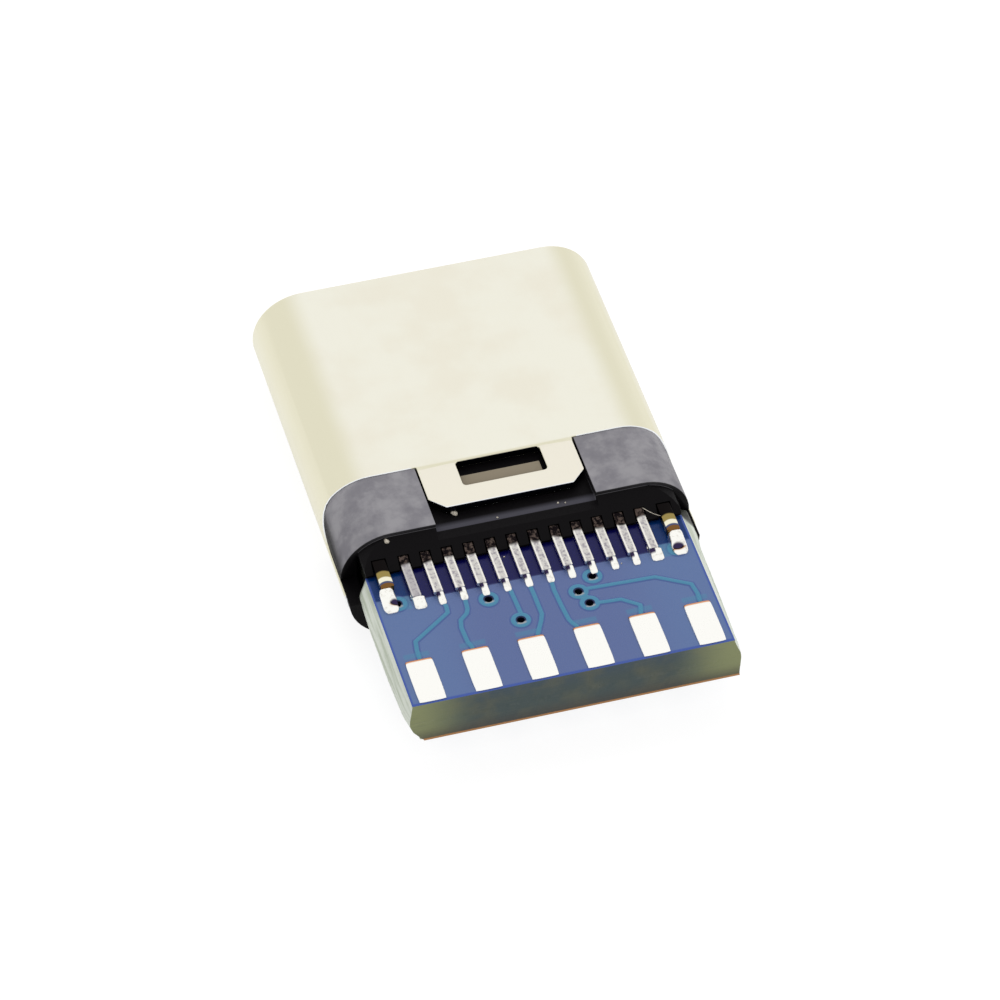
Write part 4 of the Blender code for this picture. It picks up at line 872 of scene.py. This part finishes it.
def crowned(middle, half, base, rise, power, side, cells, turn=0.0, corner=0.0):
    """Points of a crowned pad on a grid of cells, and the place along it from -1 to 1. Its rise is the
    root of 1 less the place across to a power, times the same along, and turn tips it down towards the
    rear. corner draws its corners in, by the sixth power of the other place."""
    u, v = np.meshgrid(*(np.sin(np.linspace(-1, 1, count + 1) * np.pi / 2) for count in cells))
    crown = np.sqrt((1 - abs(u) ** power[0]) * (1 - abs(v) ** power[1])) * rise
    crown = crown * (1 + turn * (v - 1) / 2)
    x = middle[0] + half[0] * u * (1 - corner * abs(v) ** 6)
    y = middle[1] + half[1] * v * (1 - corner * half[0] / half[1] * abs(u) ** 6)
    return np.stack([x, y, base + side * crown], -1), v


# a bed and tip for each foot, with a dark notch of painted shade where the foot ends. The lower row has
# no sixth and no seventh contact
for side, word, row in ((1, "upper", range(1, 13)), (-1, "lower", (1, 2, 3, 4, 5, 8, 9, 10, 11, 12))):
    for number in row:
        half = TIP_HALF_OUTER if number in (1, 12) else TIP_HALF
        points = solder_bed(FIRST_FOOT + FOOT_PITCH * (number - 1), side, half)
        m, n = points.shape[:2]
        char = np.zeros((m, n))
        if side > 0 and number > 1:
            char[SHADE_NOTCH] = 1.0
        fit(make_piece(f"{word}_solder_{number:02d}", points, grid_faces(m, n, wrap=True),
                       caps=(range(n), range((m - 1) * n, m * n)), char=char), solder, "tinned_copper")

# a bead on each latch leg, of its own width. It sinks in a blow hole, which fades by the exponential of
# minus the fourth power of the distance from the hole's middle. The hole is painted dark with shade, and
# burnt flux lies round it
for word, middle, half, hole_x, hole_y in BEADS:
    points = crowned((middle, BEAD_MIDDLE), (half, BEAD_HALF_LONG), BOARD_TOP, BEAD_RISE,
                     BEAD_SQUARENESS, 1, BEAD_CELLS, turn=BEAD_TURN, corner=BEAD_CORNER)[0]
    across, along = points[..., 0] - hole_x, points[..., 1] - hole_y
    hole = np.hypot(across / BLOW_HOLE[0], along / BLOW_HOLE[1])
    points[..., 2] -= (points[..., 2] - BOARD_TOP) * BLOW_DEPTH * np.exp(-hole ** 4)
    scorch = soft_step(-along, 0.02, 0.06) * soft_step(hole, 0.3, 0.7) * (1 - soft_step(hole, 1.1, 1.6))
    size = points.shape[:2]
    fit(make_piece(f"{word}_leg_bead", points, grid_faces(*size), caps=(edge_of(*size),),
                   char=1 - soft_step(hole, 0.80, 1.10), scorch=scorch), solder, "tinned_copper")


# Wire pads: bare copper on the board's face, levelled with tin by hot air. The tin crowns a little
# and draws back from the front edge, where a line of copper shows.
PAD_HALF = (0.32, 0.635)
PAD_MIDDLE = -5.775
PAD_CELLS = (32, 48)
PAD_LIFT, PAD_THICK = 0.005, 0.05
PAD_SQUARENESS, PAD_CORNER = (14, 22), 0.05
BARE_FROM = (0.86, 0.90)
COPPER = "#DC9C70"
PAD_TIN = "#FCFBF6"
PAD_ROUGH = (0.16, 0.30)
PAD_RELIEF = 0.004 * MM
POOL_SIZE = 0.35 * MM

# hot-air levelled tin: a nearly clean mirror, with faint pools, and copper where it drew back
tin, tree = blank_material("levelled_tin_on_copper")
place = add(tree, "TexCoord", out="Object")
pools = add(tree, "TexNoise", {"Vector": place, "Scale": 1 / POOL_SIZE, "Detail": 3.0})
bare = add(tree, "Attribute", out="Fac", attribute_name="bare")
colour = add(tree, "Mix", {0: bare, 6: linear(PAD_TIN), 7: linear(COPPER)}, **OF_COLOURS)
roughness = add(tree, "MapRange", {0: pools, 1: 0.3, 2: 0.7, 3: PAD_ROUGH[0], 4: PAD_ROUGH[1]})
finish_material(tree, {"Base Color": colour, "Metallic": 1.0, "Roughness": roughness}, pools, PAD_RELIEF)
for side, word, face in ((1, "upper", BOARD_TOP), (-1, "lower", BOARD_BOTTOM)):
    for number, middle in enumerate(PAD_MIDDLES, 1):
        points, along = crowned((middle, PAD_MIDDLE), PAD_HALF, face + side * PAD_LIFT, PAD_THICK,
                                PAD_SQUARENESS, side, PAD_CELLS, corner=PAD_CORNER)
        size = points.shape[:2]
        fit(make_piece(f"{word}_wire_pad_{number}_finished", points, grid_faces(*size),
                       caps=(edge_of(*size),), bare=soft_step(along, *BARE_FROM)),
            tin, "tinned_copper", f"{word}_wire_pad_{number}")


# Dust: crumbs of dried flux and plating, and one whisker of lint. They lie on the moulding and the
# board where handling left them, and are pressed a little into what carries them.
CRUMB_PALE = "#E4DCCB"
CRUMB_BROWN = "#9A9284"
CRUMB_GRAIN = 0.03 * MM
CRUMB_RELIEF = 0.004 * MM
CRUMB_GRID = (15, 24)
CRUMB_FLATNESS = 0.8
CRUMBS = (("hood", -3.035, -1.84, 2.225, 0.060), ("tongue", -1.32, -1.335, 2.15, 0.065),
          ("board", -0.52, -2.61, 1.79, 0.020), ("pour", 1.95, -3.52, 1.79, 0.016),
          ("channel_1", 1.02, -1.62, 2.125, 0.022), ("channel_2", 1.18, -1.66, 2.125, 0.018),
          ("channel_3", -0.42, -1.70, 2.125, 0.020), ("flap", -3.20, -0.95, 2.24, 0.018))
WHISKER = ((2.82, -2.22, 2.06), (2.90, -2.34, 2.06), (3.00, -2.44, 2.04), (3.12, -2.50, 2.00),
           (3.26, -2.52, 1.96))
WHISKER_THICK = 0.014
WHISKER_GRID = (41, 10)

# dried flux and lint: matt, pale, mottled at the size of its grains
crumbs, tree = blank_material("dried_flux_and_lint")
place = add(tree, "TexCoord", out="Object")
grains = add(tree, "TexNoise", {"Vector": place, "Scale": 1 / CRUMB_GRAIN, "Detail": 3.0})
mottle = add(tree, "MapRange", {0: grains, 1: 0.35, 2: 0.65})
colour = add(tree, "Mix", {0: mottle, 6: linear(CRUMB_BROWN), 7: linear(CRUMB_PALE)}, **OF_COLOURS)
finish_material(tree, {"Base Color": colour, "IOR": 1.5, "Roughness": 0.6}, grains, CRUMB_RELIEF)


def crumb(middle, radius, seed):
    """Points of a lump: a flattened ball whose radius swells by three waves of its two angles, in random
    phase."""
    phase = np.random.default_rng(seed).uniform(0, 2 * np.pi, 3)
    rings, spokes = CRUMB_GRID
    tilt, turn = np.meshgrid(np.linspace(0, np.pi, rings),
                             np.linspace(0, 2 * np.pi, spokes, endpoint=False), indexing="ij")
    waves = (0.18 * np.sin(2 * turn + phase[0]) + 0.12 * np.sin(3 * turn + phase[1])
             + 0.10 * np.sin(5 * tilt + phase[2]))
    swell = radius * (1 + np.sin(tilt) * waves)
    ball = np.stack([np.sin(tilt) * np.cos(turn), np.sin(tilt) * np.sin(turn),
                     CRUMB_FLATNESS * np.cos(tilt)], -1)
    return np.array(middle) + swell[..., None] * ball


def strand(course, thick):
    """Points of a thin round thread: at each station of the course a ring stands square to its run, and
    the rings shrink to a point at both ends."""
    stations, spokes = WHISKER_GRID
    course = np.array(course)
    t = np.linspace(0, len(course) - 1, stations)
    line = np.stack([np.interp(t, np.arange(len(course)), course[:, k]) for k in range(3)], -1)
    line[1:-1] = (line[:-2] + 2 * line[1:-1] + line[2:]) / 4
    run = np.gradient(line, axis=0)
    run /= np.linalg.norm(run, axis=1, keepdims=True)
    across = np.cross(run, (0, 0, 1))
    across /= np.linalg.norm(across, axis=1, keepdims=True)
    over = np.cross(across, run)
    angle = np.linspace(0, 2 * np.pi, spokes, endpoint=False)[None, :, None]
    taper = np.sqrt(np.clip(1 - abs(np.linspace(-1, 1, stations)) ** 8, 0, 1))
    radius = thick / 2 * taper[:, None, None]
    return line[:, None] + radius * (np.cos(angle) * across[:, None] + np.sin(angle) * over[:, None])


for seed, (word, *middle, radius) in enumerate(CRUMBS):
    fit(make_piece(f"crumb_on_{word}", crumb(middle, radius, seed), grid_faces(*CRUMB_GRID, wrap=True)),
        crumbs, "black_moulding")
fit(make_piece("lint_whisker", strand(WHISKER, WHISKER_THICK), grid_faces(*WHISKER_GRID, wrap=True)),
    crumbs, "black_moulding")
